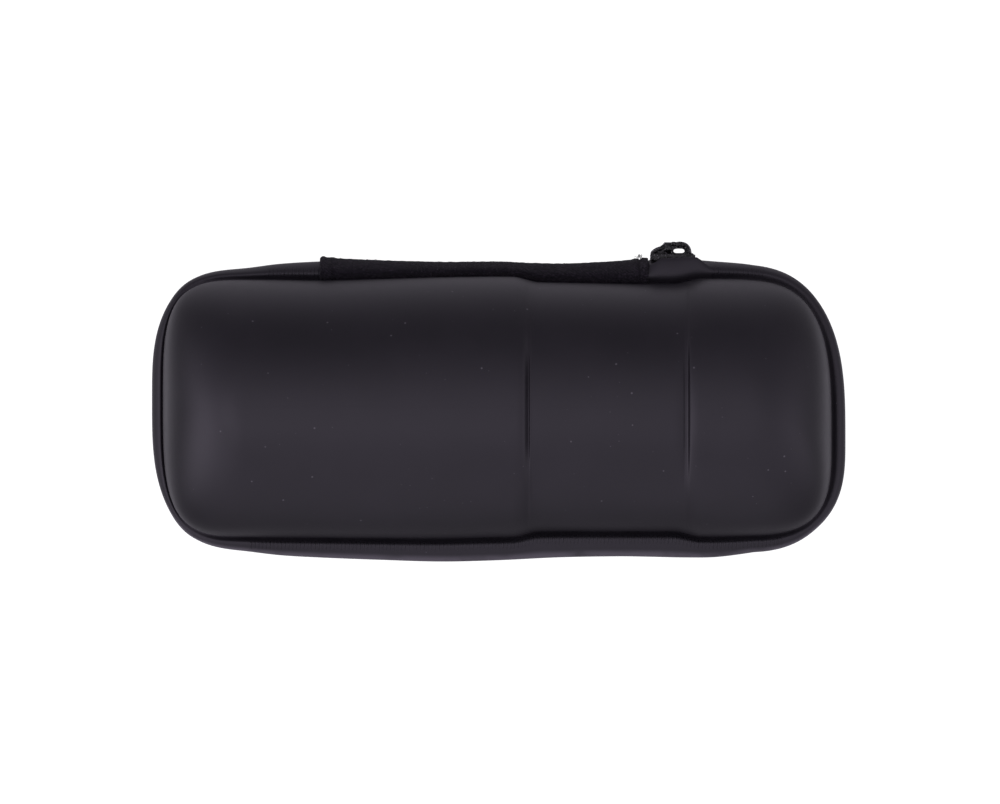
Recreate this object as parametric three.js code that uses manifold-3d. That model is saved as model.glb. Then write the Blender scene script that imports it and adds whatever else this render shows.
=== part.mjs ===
// Hard-shell bottle bag: two moulded foam half shells shaped like a drinking bottle, closed by a coated zip
// that runs round three sides and hinged by a woven gusset on the fourth. It lies on its back shell.
// Millimetres, +Z up, +X from the bottle's base to its neck, +Y to the hinge side. The origin is on the flat
// of the back shell that it rests on.
import * as THREE from "three";
import { mergeVertices } from "three/addons/utils/BufferGeometryUtils.js";
import Module from "manifold-3d";

const wasm = await Module();
wasm.setup();

// Driving dimensions of the two shells.
const LENGTH = 188; // base rim to neck rim
const WIDTH = 74; // across the rims, the size that a bottle cage grips
const DEPTH = 74; // front crown to back crown, before the back is flattened
const WALL = 3; // laminated foam
const FLAT_DEPTH = 0.8; // how much of the back crown is flattened where it rests
const HEAD = 41.1; // length of the head, from the neck rim to the waist
const WAIST = 45.1; // length of the waist, which a cage's tongue grips
const WAIST_DEPTH = 1.4; // step down to the waist
const STEP_AT_CROWN = 3; // length of each step along the bag, at the crown
const STEP_AT_RIM = 8; // and at the rim, where the seam draws it out
const DOME = 24; // length of the rounding of each end, at the crown
const BASE_CORNER = 23.8; // how far each corner of the outline reaches along the bag
const NECK_HINGE_CORNER = 30.8;
const NECK_ZIP_CORNER = 27.5;
const BASE_TIP_SHIFT = 2.5; // how far the base end's furthest point lies to the hinge side
const NECK_TIP_SHIFT = -9; // and the neck end's

// Driving dimensions of the band between the shells.
const RIM_GAP = 14; // from rim to rim
const RIM_ROUND = 2; // radius of the turned-in rim
const TAPE = 1; // thickness of the coated tape
const SEAM_MARGIN = 4; // height of the margin that is sewn inside the shell
const SEAM_LEAN = 0.9; // how far that margin leans in, as the shell's wall does
const SLIT = 0.3; // between the two closed tapes
const SWELL = 5.8; // furthest that the band stands out beyond the rims
const CLEAR = 0.3; // between pieces that touch on the real bag
const COIL_WIDTH = 5.6;
const COIL_THICK = 2;
const WEBBING = 0.8; // thickness of the gusset
const GUSSET = 91.8; // length of the gusset over its folded ends
const GUSSET_FROM_NECK = 52; // from the neck rim to the nearer folded end
const FOLD = 3.5; // how far each folded end lies over the tapes' ends

// Driving dimensions of the slider and its pull.
const SLIDER_LENGTH = 12.6;
const SLIDER_NOSE_WIDTH = 9.2;
const SLIDER_TAIL_WIDTH = 7;
const SLIDER_GAP = 0.6; // from the gusset's folded end to the slider
const PLATE = 1; // thickness of each of its two plates
const FLANGE = 1; // width of the outer plate's turned-down edges
const POST_WIDTH = 1.6; // the post that joins the plates and parts the tapes
const POST_LENGTH = 2.4;
const POST_SETBACK = 1.6; // from the nose
const BAIL_HEIGHT = 3.2; // above the outer plate
const BAIL_BAR = 1.6; // thickness of its arch
const BAIL_WIDTH = 2.4;
const BAIL_PIN = 0.55; // radius of the round stretch that the pull hangs on
const PULL_THICK = 2;
const PULL_RING = 0.75; // wall round the pull's eye
const PULL_LENGTH = 25; // from the eye's middle to the tip

// Rounder than 2 is squarer: the exponents of the outline's corners and of the shells' sections.
const BASE_SQUARENESS = 3.5;
const NECK_SQUARENESS = 3.25;
const CROWN_SQUARENESS = 2.12;
const DOME_SQUARENESS = 2.5;

// The two long sides, a row for each place along the half length. hinge and zip are the rim's half width on
// that side as a share of half WIDTH. hingeTape, zipTape and gusset are how far the band stands out there, as
// shares of SWELL.
const SIDES = [
  { at: -0.89, hinge: 0.99, zip: 0.99, hingeTape: 0.33, zipTape: 0.37, gusset: 0.9 },
  { at: -0.76, hinge: 0.992, zip: 0.99, hingeTape: 0.44, zipTape: 0.56, gusset: 0.9 },
  { at: -0.65, hinge: 0.992, zip: 0.993, hingeTape: 0.66, zipTape: 0.75, gusset: 0.9 },
  { at: -0.53, hinge: 0.988, zip: 0.995, hingeTape: 0.8, zipTape: 0.85, gusset: 0.97 },
  { at: -0.35, hinge: 0.999, zip: 1.0, hingeTape: 0.8, zipTape: 0.93, gusset: 0.79 },
  { at: -0.17, hinge: 1.012, zip: 1.002, hingeTape: 0.7, zipTape: 1.0, gusset: 0.63 },
  { at: 0.0, hinge: 1.018, zip: 0.992, hingeTape: 0.6, zipTape: 1.0, gusset: 0.6 },
  { at: 0.18, hinge: 1.01, zip: 0.986, hingeTape: 0.6, zipTape: 0.9, gusset: 0.56 },
  { at: 0.36, hinge: 1.002, zip: 0.986, hingeTape: 0.8, zipTape: 0.85, gusset: 0.74 },
  { at: 0.45, hinge: 1.0, zip: 0.986, hingeTape: 0.8, zipTape: 0.87, gusset: 0.9 },
  { at: 0.56, hinge: 1.0, zip: 0.987, hingeTape: 0.82, zipTape: 0.9, gusset: 0.9 },
  { at: 0.65, hinge: 1.0, zip: 0.988, hingeTape: 0.72, zipTape: 0.87, gusset: 0.9 },
  { at: 0.76, hinge: 0.995, zip: 0.98, hingeTape: 0.62, zipTape: 0.7, gusset: 0.9 },
];
// The band's swell over each corner and at each end's middle, as shares of SWELL.
const CORNERS = {
  base: { hinge: 0.26, zip: 0.26, tip: 0.5 },
  neck: { hinge: 0.42, zip: 0.38, tip: 0.57 },
};
// The bail seen from the side, from the slider's nose to its tail: shares of SLIDER_LENGTH and BAIL_HEIGHT.
const BAIL_OUTLINE = [
  { along: 0.04, high: 0.0 },
  { along: 0.07, high: 0.28 },
  { along: 0.18, high: 0.42 },
  { along: 0.24, high: 0.66 },
  { along: 0.31, high: 0.82 },
  { along: 0.41, high: 0.94 },
  { along: 0.59, high: 1.0 },
  { along: 0.75, high: 0.96 },
  { along: 0.84, high: 0.8 },
  { along: 0.89, high: 0.5 },
  { along: 0.91, high: 0.0 },
];
const BAIL_HOLE = { nose: 0.29, tail: 0.77 }; // where the arch's opening starts and ends

// Sizes that follow from the driving ones.
const HALF_LENGTH = LENGTH / 2;
const HALF_WIDTH = WIDTH / 2;
const HALF_DEPTH = DEPTH / 2;
const MIDDLE_Z = HALF_DEPTH - FLAT_DEPTH; // height of the zip's plane above the resting flat
const RIM_Z = RIM_GAP / 2; // the rims and all below are measured from the zip's plane
const SPRING_Z = RIM_Z + RIM_ROUND; // where the outer side of the crown starts
const TAPE_Z = RIM_Z - CLEAR; // where the tape passes under the rim
const WAIST_NECK_X = HALF_LENGTH - HEAD;
const WAIST_BASE_X = WAIST_NECK_X - WAIST;
const GUSSET_NECK_X = HALF_LENGTH - GUSSET_FROM_NECK;
const GUSSET_BASE_X = GUSSET_NECK_X - GUSSET;
const TAPE_BASE_X = GUSSET_BASE_X + FOLD - CLEAR; // the tapes' ends, under the gusset's folds
const TAPE_NECK_X = GUSSET_NECK_X - FOLD + CLEAR;
const SLIDER_NOSE_X = GUSSET_NECK_X + SLIDER_GAP;
const SLIDER_TAIL_X = SLIDER_NOSE_X + SLIDER_LENGTH;
const POST_END_X = SLIDER_NOSE_X + POST_SETBACK + POST_LENGTH;
const PULL_EYE = BAIL_PIN + CLEAR; // radius
const PULL_OUTER = PULL_EYE + PULL_RING;
const CORNER_STEPS = 8; // stations over each corner
const ARC_STEPS = 6; // edges over the quarter of the band's section
const SAME_PLACE = 0.01; // places closer together than this are one station
const SHARE = THREE.MathUtils.lerp;
const STEP = THREE.MathUtils.smoothstep;

// Cubic interpolation of one column of a table, held at its first and last rows.
function fromTable(rows, column, at) {
  const last = rows.length - 1;
  if (at <= rows[0].at) return rows[0][column];
  if (at >= rows[last].at) return rows[last][column];
  const i = rows.findIndex((row) => row.at > at) - 1;
  const slope = (k) => {
    const a = rows[Math.max(k - 1, 0)];
    const b = rows[Math.min(k + 1, last)];
    return (b[column] - a[column]) / (b.at - a.at);
  };
  const span = rows[i + 1].at - rows[i].at;
  const t = (at - rows[i].at) / span;
  const rest = 1 - t;
  return (
    rows[i][column] * (1 + 2 * t) * rest * rest +
    slope(i) * span * t * rest * rest +
    rows[i + 1][column] * (3 - 2 * t) * t * t -
    slope(i + 1) * span * rest * t * t
  );
}

// 1 within the waist and 0 outside it, with a step of the given length at each end.
function waist(x, step) {
  const rise = STEP(x, WAIST_BASE_X - step / 2, WAIST_BASE_X + step / 2);
  const fall = STEP(x, WAIST_NECK_X - step / 2, WAIST_NECK_X + step / 2);
  return rise - fall;
}

// Where the outline's corners start, on the hinge side (+1) or the zip side (-1).
const baseCornerX = () => BASE_CORNER - HALF_LENGTH;
const neckCornerX = (side) => HALF_LENGTH - (side > 0 ? NECK_HINGE_CORNER : NECK_ZIP_CORNER);

// A place runs along one side of the outline: 0 at the base's tip, 1 to 2 between the corners and 3 at the
// neck's tip.
function placeOf(side, x) {
  const [base, neck] = [baseCornerX(), neckCornerX(side)];
  const turn = (share, squareness) => (2 / Math.PI) * Math.asin(Math.min(share, 1) ** (squareness / 2));
  if (x < base) return 1 - turn((base - x) / BASE_CORNER, BASE_SQUARENESS);
  if (x > neck) return 2 + turn((x - neck) / (HALF_LENGTH - neck), NECK_SQUARENESS);
  return 1 + (x - base) / (neck - base);
}

// The outline of the rims without the waist. Beyond a tip it goes on along the other side.
function outline(side, place) {
  if (place < 0) return outline(-side, -place);
  if (place > 3) return outline(-side, 6 - place);
  const atBase = place < 1;
  const turn = atBase ? 1 - place : Math.max(place - 2, 0);
  const power = 2 / (atBase ? BASE_SQUARENESS : NECK_SQUARENESS);
  const along = Math.sin((turn * Math.PI) / 2) ** power;
  const across = Math.max(Math.cos((turn * Math.PI) / 2), 0) ** power;
  let x = SHARE(baseCornerX(), neckCornerX(side), place - 1);
  if (atBase) x = baseCornerX() - BASE_CORNER * along;
  else if (place > 2) x = SHARE(neckCornerX(side), HALF_LENGTH, along);
  const column = side > 0 ? "hinge" : "zip";
  const half = side * HALF_WIDTH * fromTable(SIDES, column, x / HALF_LENGTH);
  const tip = atBase ? BASE_TIP_SHIFT : NECK_TIP_SHIFT;
  return new THREE.Vector2(x, SHARE(tip, half, across));
}

// One station of the rims' outline. point is on the outline, out is its outward direction, rim is the point
// with the waist's drop, tape and gusset are how far the band stands out beyond that rim.
function station(side, place) {
  const point = outline(side, place);
  const small = 1e-3;
  const along = outline(side, place + small).sub(outline(side, place - small)).normalize();
  if (place < small || place > 3 - small) along.set(0, place < 1 ? side : -side);
  const out = new THREE.Vector2(-along.y, along.x).multiplyScalar(side);
  const drop = WAIST_DEPTH * waist(point.x, STEP_AT_RIM);
  const rim = point.clone().addScaledVector(out, -drop);
  const column = side > 0 ? "hinge" : "zip";
  let swell = fromTable(SIDES, column + "Tape", point.x / HALF_LENGTH);
  const end = place < 1 ? CORNERS.base : CORNERS.neck;
  const turn = place < 1 ? 1 - place : place - 2;
  if (turn > 0) {
    const corner = SHARE(swell, end[column], STEP(turn, 0, 0.5));
    swell = SHARE(corner, end.tip, STEP(turn, 0.5, 1));
  }
  const gusset = fromTable(SIDES, "gusset", point.x / HALF_LENGTH);
  return { side, place, point, out, rim, drop, tape: swell * SWELL + drop, gusset: gusset * SWELL + drop };
}

// The places along the long sides where a section stands: shares of the half length and, at the waist's
// steps, shares of a step.
const EVEN_STATIONS = [-0.72, -0.62, -0.52, -0.41, -0.3, -0.2, -0.1, 0, 0.18, 0.27, 0.36, 0.45, 0.65, 0.72];
const STEP_STATIONS = [-0.5, -0.17, 0.17, 0.5];
const LEAST_STATION = 1; // mm from the next one
function sideXs() {
  const middles = [WAIST_BASE_X, WAIST_NECK_X];
  const clearOfStep = STEP_AT_RIM / 2 + LEAST_STATION;
  const farFromSteps = (x) => middles.every((middle) => Math.abs(x - middle) > clearOfStep);
  const first = baseCornerX() + LEAST_STATION;
  const last = Math.min(neckCornerX(1), neckCornerX(-1)) - LEAST_STATION;
  const xs = EVEN_STATIONS.map((share) => share * HALF_LENGTH).filter(farFromSteps);
  for (const middle of middles) xs.push(...STEP_STATIONS.map((share) => middle + share * STEP_AT_RIM));
  return xs.filter((x) => x > first && x < last).sort((a, b) => a - b);
}

// All stations of one side, from the base's tip to the neck's.
function sideStations(side) {
  const corner = [...Array(CORNER_STEPS + 1).keys()].map((i) => i / CORNER_STEPS);
  const straight = sideXs().map((x) => placeOf(side, x));
  const places = [...corner, ...straight, ...corner.map((turn) => 2 + turn)];
  return places.map((place) => station(side, place));
}

// The stations of the zip: from x on the hinge side, round the base, along the zip side and round the neck
// to the hinge side again.
function zipStretch(fromX, toX) {
  const [from, to] = [placeOf(1, fromX), placeOf(1, toX)];
  const hinge = sideStations(1).reverse();
  return [
    station(1, from),
    ...hinge.filter(({ place }) => place < from - SAME_PLACE),
    ...sideStations(-1).slice(1, -1),
    ...hinge.filter(({ place }) => place > to + SAME_PLACE),
    station(1, to),
  ];
}

// The stations between two places on the hinge side.
function hingeStretch(fromX, toX) {
  const [from, to] = [placeOf(1, fromX), placeOf(1, toX)];
  const isBetween = ({ place }) => place > from + SAME_PLACE && place < to - SAME_PLACE;
  const between = sideStations(1).filter(isBetween);
  return [station(1, from), ...between, station(1, to)];
}

// Joins a row of rings of equal length into one closed geometry. A cap is a list of triangles of ring numbers.
function skin(rings, firstCap, lastCap) {
  const count = rings[0].length;
  const faces = [];
  for (let r = 0; r + 1 < rings.length; r++) {
    for (let i = 0; i < count; i++) {
      const [a, b] = [r * count + i, r * count + ((i + 1) % count)];
      faces.push([a, b, b + count], [a, b + count, a + count]);
    }
  }
  const end = (rings.length - 1) * count;
  for (const [a, b, c] of firstCap) faces.push([a, c, b]);
  for (const [a, b, c] of lastCap) faces.push([end + a, end + b, end + c]);
  const points = rings.flat();
  const volume = faces.reduce((sum, [a, b, c]) => {
    return sum + points[a].dot(new THREE.Vector3().crossVectors(points[b], points[c]));
  }, 0);
  const outward = volume < 0 ? faces.map(([a, b, c]) => [a, c, b]) : faces;
  return new THREE.BufferGeometry().setFromPoints(points).setIndex(outward.flat());
}

// Sweeps a section along stations. A section is a polygon of points: x is out from the rim and y is up.
function sweep(stations, sectionOf, up = 1) {
  const sections = stations.map(sectionOf);
  const rings = stations.map(({ rim, out }, i) =>
    sections[i].map((point) => {
      const foot = rim.clone().addScaledVector(out, point.x);
      return new THREE.Vector3(foot.x, foot.y, up * point.y);
    }),
  );
  const cap = (section) => {
    const turn = Math.sign(THREE.ShapeUtils.area(section));
    const faces = THREE.ShapeUtils.triangulateShape(section, []);
    const asRing = (face) => THREE.ShapeUtils.area(face.map((k) => section[k])) * turn > 0;
    return faces.map((face) => (asRing(face) ? face : [face[0], face[2], face[1]]));
  };
  return skin(rings, cap(sections[0]), cap(sections.at(-1)));
}

// A geometry as a solid for the boolean cuts and joins, and back.
function solidOf(geometry) {
  const bare = geometry.clone();
  bare.deleteAttribute("normal");
  bare.deleteAttribute("uv");
  const merged = mergeVertices(bare, 1e-4);
  const mesh = { numProp: 3, vertProperties: merged.attributes.position.array };
  return new wasm.Manifold(new wasm.Mesh({ ...mesh, triVerts: new Uint32Array(merged.index.array) }));
}

function geometryOf(solid) {
  const mesh = solid.getMesh();
  const position = new THREE.BufferAttribute(mesh.vertProperties, 3);
  return new THREE.BufferGeometry().setAttribute("position", position).setIndex([...mesh.triVerts]);
}

// A box from its lowest to its highest corner.
function block(low, high) {
  const size = high.map((value, i) => value - low[i]);
  const middle = high.map((value, i) => (value + low[i]) / 2);
  return solidOf(new THREE.BoxGeometry(...size).translate(...middle));
}

// The levels of the crown at which a ring stands, from 0 at the rim to 1 on the middle line.
const OUTSIDE_LEVELS = [0, 0.11, 0.22, 0.34, 0.46, 0.58, 0.7];
const INSIDE_LEVELS = [0.8, 0.6, 0.36, 0.14, 0];
const TOP_LEVEL = 0.955;

// One half shell: a wall with a turned-in rim, a crown that is superelliptic across and domed at both ends, and
// the waist pressed into it. up is +1 for the front shell and -1 for the back one, whose crown is flattened
// where it rests.
function halfShell(up) {
  const hinge = sideStations(1);
  const zip = sideStations(-1);
  const loop = [...hinge, ...zip.slice(1, -1).reverse()];
  const limit = up < 0 ? MIDDLE_Z : Infinity;
  const domeX = HALF_LENGTH - DOME;

  // The ring at one level of the crown, inset by the wall for the inner side.
  const crownRing = (level, inset) =>
    loop.map(({ point, out }) => {
      const drop = WAIST_DEPTH * waist(point.x, SHARE(STEP_AT_RIM, STEP_AT_CROWN, level));
      const top = HALF_DEPTH - inset - drop;
      const spring = Math.asin((SPRING_Z / top) ** (CROWN_SQUARENESS / 2));
      const angle = SHARE(spring, Math.PI / 2, level);
      const narrowed = Math.cos(angle) / Math.cos(spring);
      const foot = point.clone().addScaledVector(out, -drop - inset);
      const end = Math.abs(foot.x) > domeX ? Math.sign(foot.x) * domeX : foot.x;
      const x = SHARE(end, foot.x, narrowed ** (2 / DOME_SQUARENESS));
      const y = foot.y * narrowed ** (2 / CROWN_SQUARENESS);
      const z = Math.min(top * Math.sin(angle) ** (2 / CROWN_SQUARENESS), limit - inset);
      return new THREE.Vector3(x, y, up * z);
    });
  const rimRing = (inset, height) =>
    loop.map(({ rim, out }) => {
      const foot = rim.clone().addScaledVector(out, -inset);
      return new THREE.Vector3(foot.x, foot.y, up * height);
    });

  // The level at which the back crown meets its flat.
  const angleAt = (z) => Math.asin((z / HALF_DEPTH) ** (CROWN_SQUARENESS / 2));
  const flat = (angleAt(MIDDLE_Z) - angleAt(SPRING_Z)) / (Math.PI / 2 - angleAt(SPRING_Z));
  const turned = RIM_ROUND * (1 - Math.SQRT1_2);
  const rings = [
    ...[TOP_LEVEL, ...INSIDE_LEVELS].map((level) => crownRing(level, WALL)),
    rimRing(WALL, RIM_Z),
    rimRing(RIM_ROUND, RIM_Z),
    rimRing(turned, RIM_Z + turned),
    ...[...OUTSIDE_LEVELS, flat, TOP_LEVEL].map((level) => crownRing(level, 0)),
  ];
  // Each cap is a strip between the two sides, with one triangle at each tip.
  const last = hinge.length - 1;
  const opposite = (i) => loop.length - i;
  const cap = [];
  for (let i = 0; i < last; i++) {
    if (i > 0) cap.push([i, i + 1, opposite(i)]);
    if (i + 1 < last) cap.push([i + 1, opposite(i + 1), i > 0 ? opposite(i) : 0]);
  }
  return skin(rings, cap, cap);
}

// Part of an ellipse in a section, centred where the band comes out from under the rims.
function arc(reach, height, from, to, steps = ARC_STEPS) {
  const angles = [...Array(steps + 1).keys()].map((i) => SHARE(from, to, i / steps));
  return angles.map((angle) => {
    return new THREE.Vector2(reach * Math.cos(angle) - RIM_ROUND, height * Math.sin(angle));
  });
}

// The margin that is sewn inside a shell, from the rim up and back down, for the given thickness.
function seamMargin(thick) {
  const foot = -WALL - CLEAR;
  const top = RIM_Z + SEAM_MARGIN;
  return [
    new THREE.Vector2(foot, TAPE_Z),
    new THREE.Vector2(foot - SEAM_LEAN, top),
    new THREE.Vector2(foot - SEAM_LEAN - thick, top),
    new THREE.Vector2(foot - thick, TAPE_Z - thick),
  ];
}

// Half the band's section, one tape: from the slit out and up under the rim to the seam, and back along its
// inner side.
function tapeSection({ tape }) {
  const edge = (height) => Math.asin(SLIT / 2 / height);
  const inner = TAPE_Z - TAPE;
  return [
    ...arc(tape + RIM_ROUND, TAPE_Z, edge(TAPE_Z), Math.PI / 2),
    ...seamMargin(TAPE),
    ...arc(tape + RIM_ROUND - TAPE, inner, Math.PI / 2, edge(inner)),
  ];
}

// How far out from the rim the tape's inner side is, at a height from the zip's plane.
function insideTape({ tape }, height) {
  return (tape + RIM_ROUND - TAPE) * Math.sqrt(1 - (height / (TAPE_Z - TAPE)) ** 2) - RIM_ROUND;
}

function coilSection(at) {
  const outer = insideTape(at, COIL_WIDTH / 2) - CLEAR;
  const half = COIL_WIDTH / 2;
  const corners = [[outer, -half], [outer, half], [outer - COIL_THICK, half], [outer - COIL_THICK, -half]];
  return corners.map(([x, y]) => new THREE.Vector2(x, y));
}

// The gusset's section: one strip from the front shell's seam to the back shell's.
function gussetSection({ gusset }) {
  const mirrored = (points) => points.map(({ x, y }) => new THREE.Vector2(x, -y)).reverse();
  const quarter = Math.PI / 2;
  const inner = arc(gusset + RIM_ROUND - WEBBING, TAPE_Z - WEBBING, quarter, -quarter, 2 * ARC_STEPS);
  const outer = arc(gusset + RIM_ROUND, TAPE_Z, -quarter, quarter, 2 * ARC_STEPS);
  return [...outer, ...seamMargin(WEBBING), ...inner, ...mirrored(seamMargin(WEBBING))];
}

// A folded end lies over the tapes. Past their ends it goes down to the strip that it is folded from.
const FOLD_ANGLE = THREE.MathUtils.degToRad(64); // how far round the band's section it reaches each way
function foldSection({ tape, gusset }, joined) {
  const over = tape + RIM_ROUND + CLEAR;
  const under = joined ? gusset + RIM_ROUND - WEBBING : over;
  const height = joined ? TAPE_Z - WEBBING : TAPE_Z + CLEAR;
  return [
    ...arc(over + WEBBING, TAPE_Z + CLEAR + WEBBING, -FOLD_ANGLE, FOLD_ANGLE),
    ...arc(under, height, FOLD_ANGLE, -FOLD_ANGLE),
  ];
}

function foldedEnd(endX, inwards) {
  const distances = [0, FOLD, FOLD + CLEAR, FOLD + CLEAR + WEBBING];
  const stations = distances.map((distance) => station(1, placeOf(1, endX + inwards * distance)));
  const joined = new Map(stations.map((at, i) => [at, i > 1]));
  return solidOf(sweep(stations, (at) => foldSection(at, joined.get(at))));
}

function gusset() {
  const inset = FOLD + CLEAR;
  const strip = sweep(hingeStretch(GUSSET_BASE_X + inset, GUSSET_NECK_X - inset), gussetSection);
  const solid = solidOf(strip).add(foldedEnd(GUSSET_BASE_X, 1)).add(foldedEnd(GUSSET_NECK_X, -1));
  return geometryOf(solid);
}

// The slider's own frame: x from its nose, y out from the tapes' crest, z across them.
const sliderStations = [0, 0.5, 1].map((share) => {
  return station(1, placeOf(1, SLIDER_NOSE_X + share * SLIDER_LENGTH));
});
const CREST_Y = Math.max(...sliderStations.map(({ rim, tape }) => rim.y + tape));
const INSIDE_TAPE_Y = Math.min(...sliderStations.map((at) => at.rim.y + insideTape(at, COIL_WIDTH / 2)));
const INNER_PLATE_Y = INSIDE_TAPE_Y - CREST_Y - CLEAR;
const PLATE_TOP = CLEAR + PLATE;
const PIN_Y = PLATE_TOP + CLEAR + PULL_OUTER;
const PULL_X = BAIL_HOLE.nose * SLIDER_LENGTH + CLEAR + PULL_THICK / 2;

// One tape, with room at the slider's nose for the post that parts the two.
function tapeHalf(up) {
  const tape = solidOf(sweep(zipStretch(TAPE_BASE_X, TAPE_NECK_X), tapeSection, up));
  const half = POST_WIDTH / 2 + CLEAR;
  const low = [TAPE_NECK_X - CLEAR, CREST_Y + INNER_PLATE_Y, -half];
  const high = [POST_END_X + CLEAR, CREST_Y + SWELL, half];
  return geometryOf(tape.subtract(block(low, high)));
}

// A plate or channel as seen from outside, with straight sides between the half widths at nose and tail.
function taperedPlate(noseHalf, tailHalf, from, to, low, high, corner) {
  const shape = new THREE.Shape();
  shape.moveTo(from, -noseHalf + corner);
  shape.lineTo(from + corner, -noseHalf);
  shape.lineTo(to - corner, -tailHalf);
  shape.lineTo(to, -tailHalf + corner);
  shape.lineTo(to, tailHalf - corner);
  shape.lineTo(to - corner, tailHalf);
  shape.lineTo(from + corner, noseHalf);
  shape.lineTo(from, noseHalf - corner);
  const plate = new THREE.ExtrudeGeometry(shape, { depth: high - low, bevelEnabled: false });
  return solidOf(plate.rotateX(-Math.PI / 2).translate(0, low, 0));
}

// The bail: an arch along the slider, cut away at the nose but for a round pin, where the pull hangs.
function bail() {
  const at = ({ along, high }) => {
    return new THREE.Vector2(along * SLIDER_LENGTH, PLATE_TOP + high * BAIL_HEIGHT);
  };
  const arch = new THREE.Shape();
  const foot = at(BAIL_OUTLINE[0]);
  arch.moveTo(foot.x, foot.y - PLATE / 2);
  arch.lineTo(foot.x, foot.y);
  arch.splineThru(BAIL_OUTLINE.slice(1).map(at));
  arch.lineTo(BAIL_OUTLINE.at(-1).along * SLIDER_LENGTH, PLATE_TOP - PLATE / 2);
  const solid = (geometry) => solidOf(geometry.translate(0, 0, -BAIL_WIDTH / 2));
  const depth = { depth: BAIL_WIDTH, bevelEnabled: false, curveSegments: 2 * BAIL_OUTLINE.length };
  const outer = solid(new THREE.ExtrudeGeometry(arch, depth));

  const [nose, tail] = [BAIL_HOLE.nose * SLIDER_LENGTH, BAIL_HOLE.tail * SLIDER_LENGTH];
  const under = PLATE_TOP + BAIL_HEIGHT - BAIL_BAR;
  const hole = block([nose, PLATE_TOP, -BAIL_WIDTH], [tail, under, BAIL_WIDTH]);
  const notchEnd = nose + PULL_THICK + 2 * CLEAR;
  const notch = block([nose, PLATE_TOP, -BAIL_WIDTH], [notchEnd, PLATE_TOP + 2 * BAIL_HEIGHT, BAIL_WIDTH]);
  const pinLength = notchEnd - nose + 2 * BAIL_PIN;
  const pin = new THREE.CylinderGeometry(BAIL_PIN, BAIL_PIN, pinLength, 12).rotateZ(Math.PI / 2);
  return outer.subtract(hole).subtract(notch).add(solidOf(pin.translate((nose + notchEnd) / 2, PIN_Y, 0)));
}

function slider() {
  const [noseHalf, tailHalf] = [SLIDER_NOSE_WIDTH / 2, SLIDER_TAIL_WIDTH / 2];
  const channel = tailHalf - FLANGE;
  const lowest = Math.max(...sliderStations.map(({ rim, tape }) => {
    return rim.y + (tape + RIM_ROUND) * Math.sqrt(1 - (channel / TAPE_Z) ** 2) - RIM_ROUND - CREST_Y;
  }));
  const edge = Math.min(lowest + CLEAR, CLEAR);
  const outer = taperedPlate(noseHalf, tailHalf, 0, SLIDER_LENGTH, edge, PLATE_TOP, FLANGE);
  const past = SLIDER_LENGTH / 2;
  const room = taperedPlate(noseHalf - FLANGE, channel, -past, SLIDER_LENGTH + past, edge - CLEAR, CLEAR, 0);
  const half = COIL_WIDTH / 2;
  const inner = block([CLEAR, INNER_PLATE_Y - PLATE, -half], [SLIDER_LENGTH - CLEAR, INNER_PLATE_Y, half]);
  const post = block(
    [POST_SETBACK, INNER_PLATE_Y - PLATE / 2, -POST_WIDTH / 2],
    [POST_SETBACK + POST_LENGTH, PLATE_TOP - PLATE / 2, POST_WIDTH / 2],
  );
  return geometryOf(outer.subtract(room).add(inner).add(post).add(bail()));
}

// The pull hangs down from the pin: a slim flat tab with an eye and round ends.
function pull() {
  const shape = new THREE.Shape();
  shape.absarc(0, 0, PULL_OUTER, 0, Math.PI, false);
  shape.absarc(0, PULL_OUTER - PULL_LENGTH, PULL_OUTER, Math.PI, 2 * Math.PI, false);
  const eye = new THREE.Path();
  eye.absarc(0, 0, PULL_EYE, 0, 2 * Math.PI, true);
  shape.holes.push(eye);
  const depth = { depth: PULL_THICK, bevelEnabled: false, curveSegments: 8 };
  const flat = new THREE.ExtrudeGeometry(shape, depth);
  return geometryOf(solidOf(flat.translate(0, 0, -PULL_THICK / 2)));
}

// Finishes.
const shellSkin = new THREE.MeshStandardMaterial({ color: 0x2b292e, roughness: 0.55, metalness: 0 });
const coated = new THREE.MeshStandardMaterial({ color: 0x222024, roughness: 0.5, metalness: 0 });
const woven = new THREE.MeshStandardMaterial({ color: 0x131214, roughness: 0.95, metalness: 0 });
const plastic = new THREE.MeshStandardMaterial({ color: 0x18181a, roughness: 0.6, metalness: 0 });
const blackMetal = new THREE.MeshStandardMaterial({ color: 0x0e0e10, roughness: 0.35, metalness: 0.6 });

function named(name, geometry, material) {
  const mesh = new THREE.Mesh(geometry, material);
  mesh.name = name;
  return mesh;
}

// Assembly. The bag's group has the zip's plane at its height, and the slider's group is on the tapes' crest.
const group = new THREE.Group();
const bag = new THREE.Group();
bag.position.z = MIDDLE_Z;
group.add(bag);
bag.add(named("front_shell", halfShell(1), shellSkin));
bag.add(named("back_shell", halfShell(-1), shellSkin));
bag.add(named("zip_tape_front", tapeHalf(1), coated));
bag.add(named("zip_tape_back", tapeHalf(-1), coated));
bag.add(named("zip_coil", sweep(zipStretch(TAPE_BASE_X, SLIDER_TAIL_X + CLEAR), coilSection), plastic));
bag.add(named("hinge_gusset", gusset(), woven));

const sliderGroup = new THREE.Group();
sliderGroup.position.set(SLIDER_NOSE_X, CREST_Y, 0);
bag.add(sliderGroup);
sliderGroup.add(named("zip_slider", slider(), blackMetal));
const zipPull = named("zip_pull", pull(), blackMetal);
zipPull.position.set(PULL_X, PIN_Y, 0);
zipPull.rotation.set(Math.PI / 2, Math.PI / 2, 0);
sliderGroup.add(zipPull);

export default group;
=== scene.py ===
import math

import bmesh
import bpy
import numpy as np
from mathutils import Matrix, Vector, noise


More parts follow.
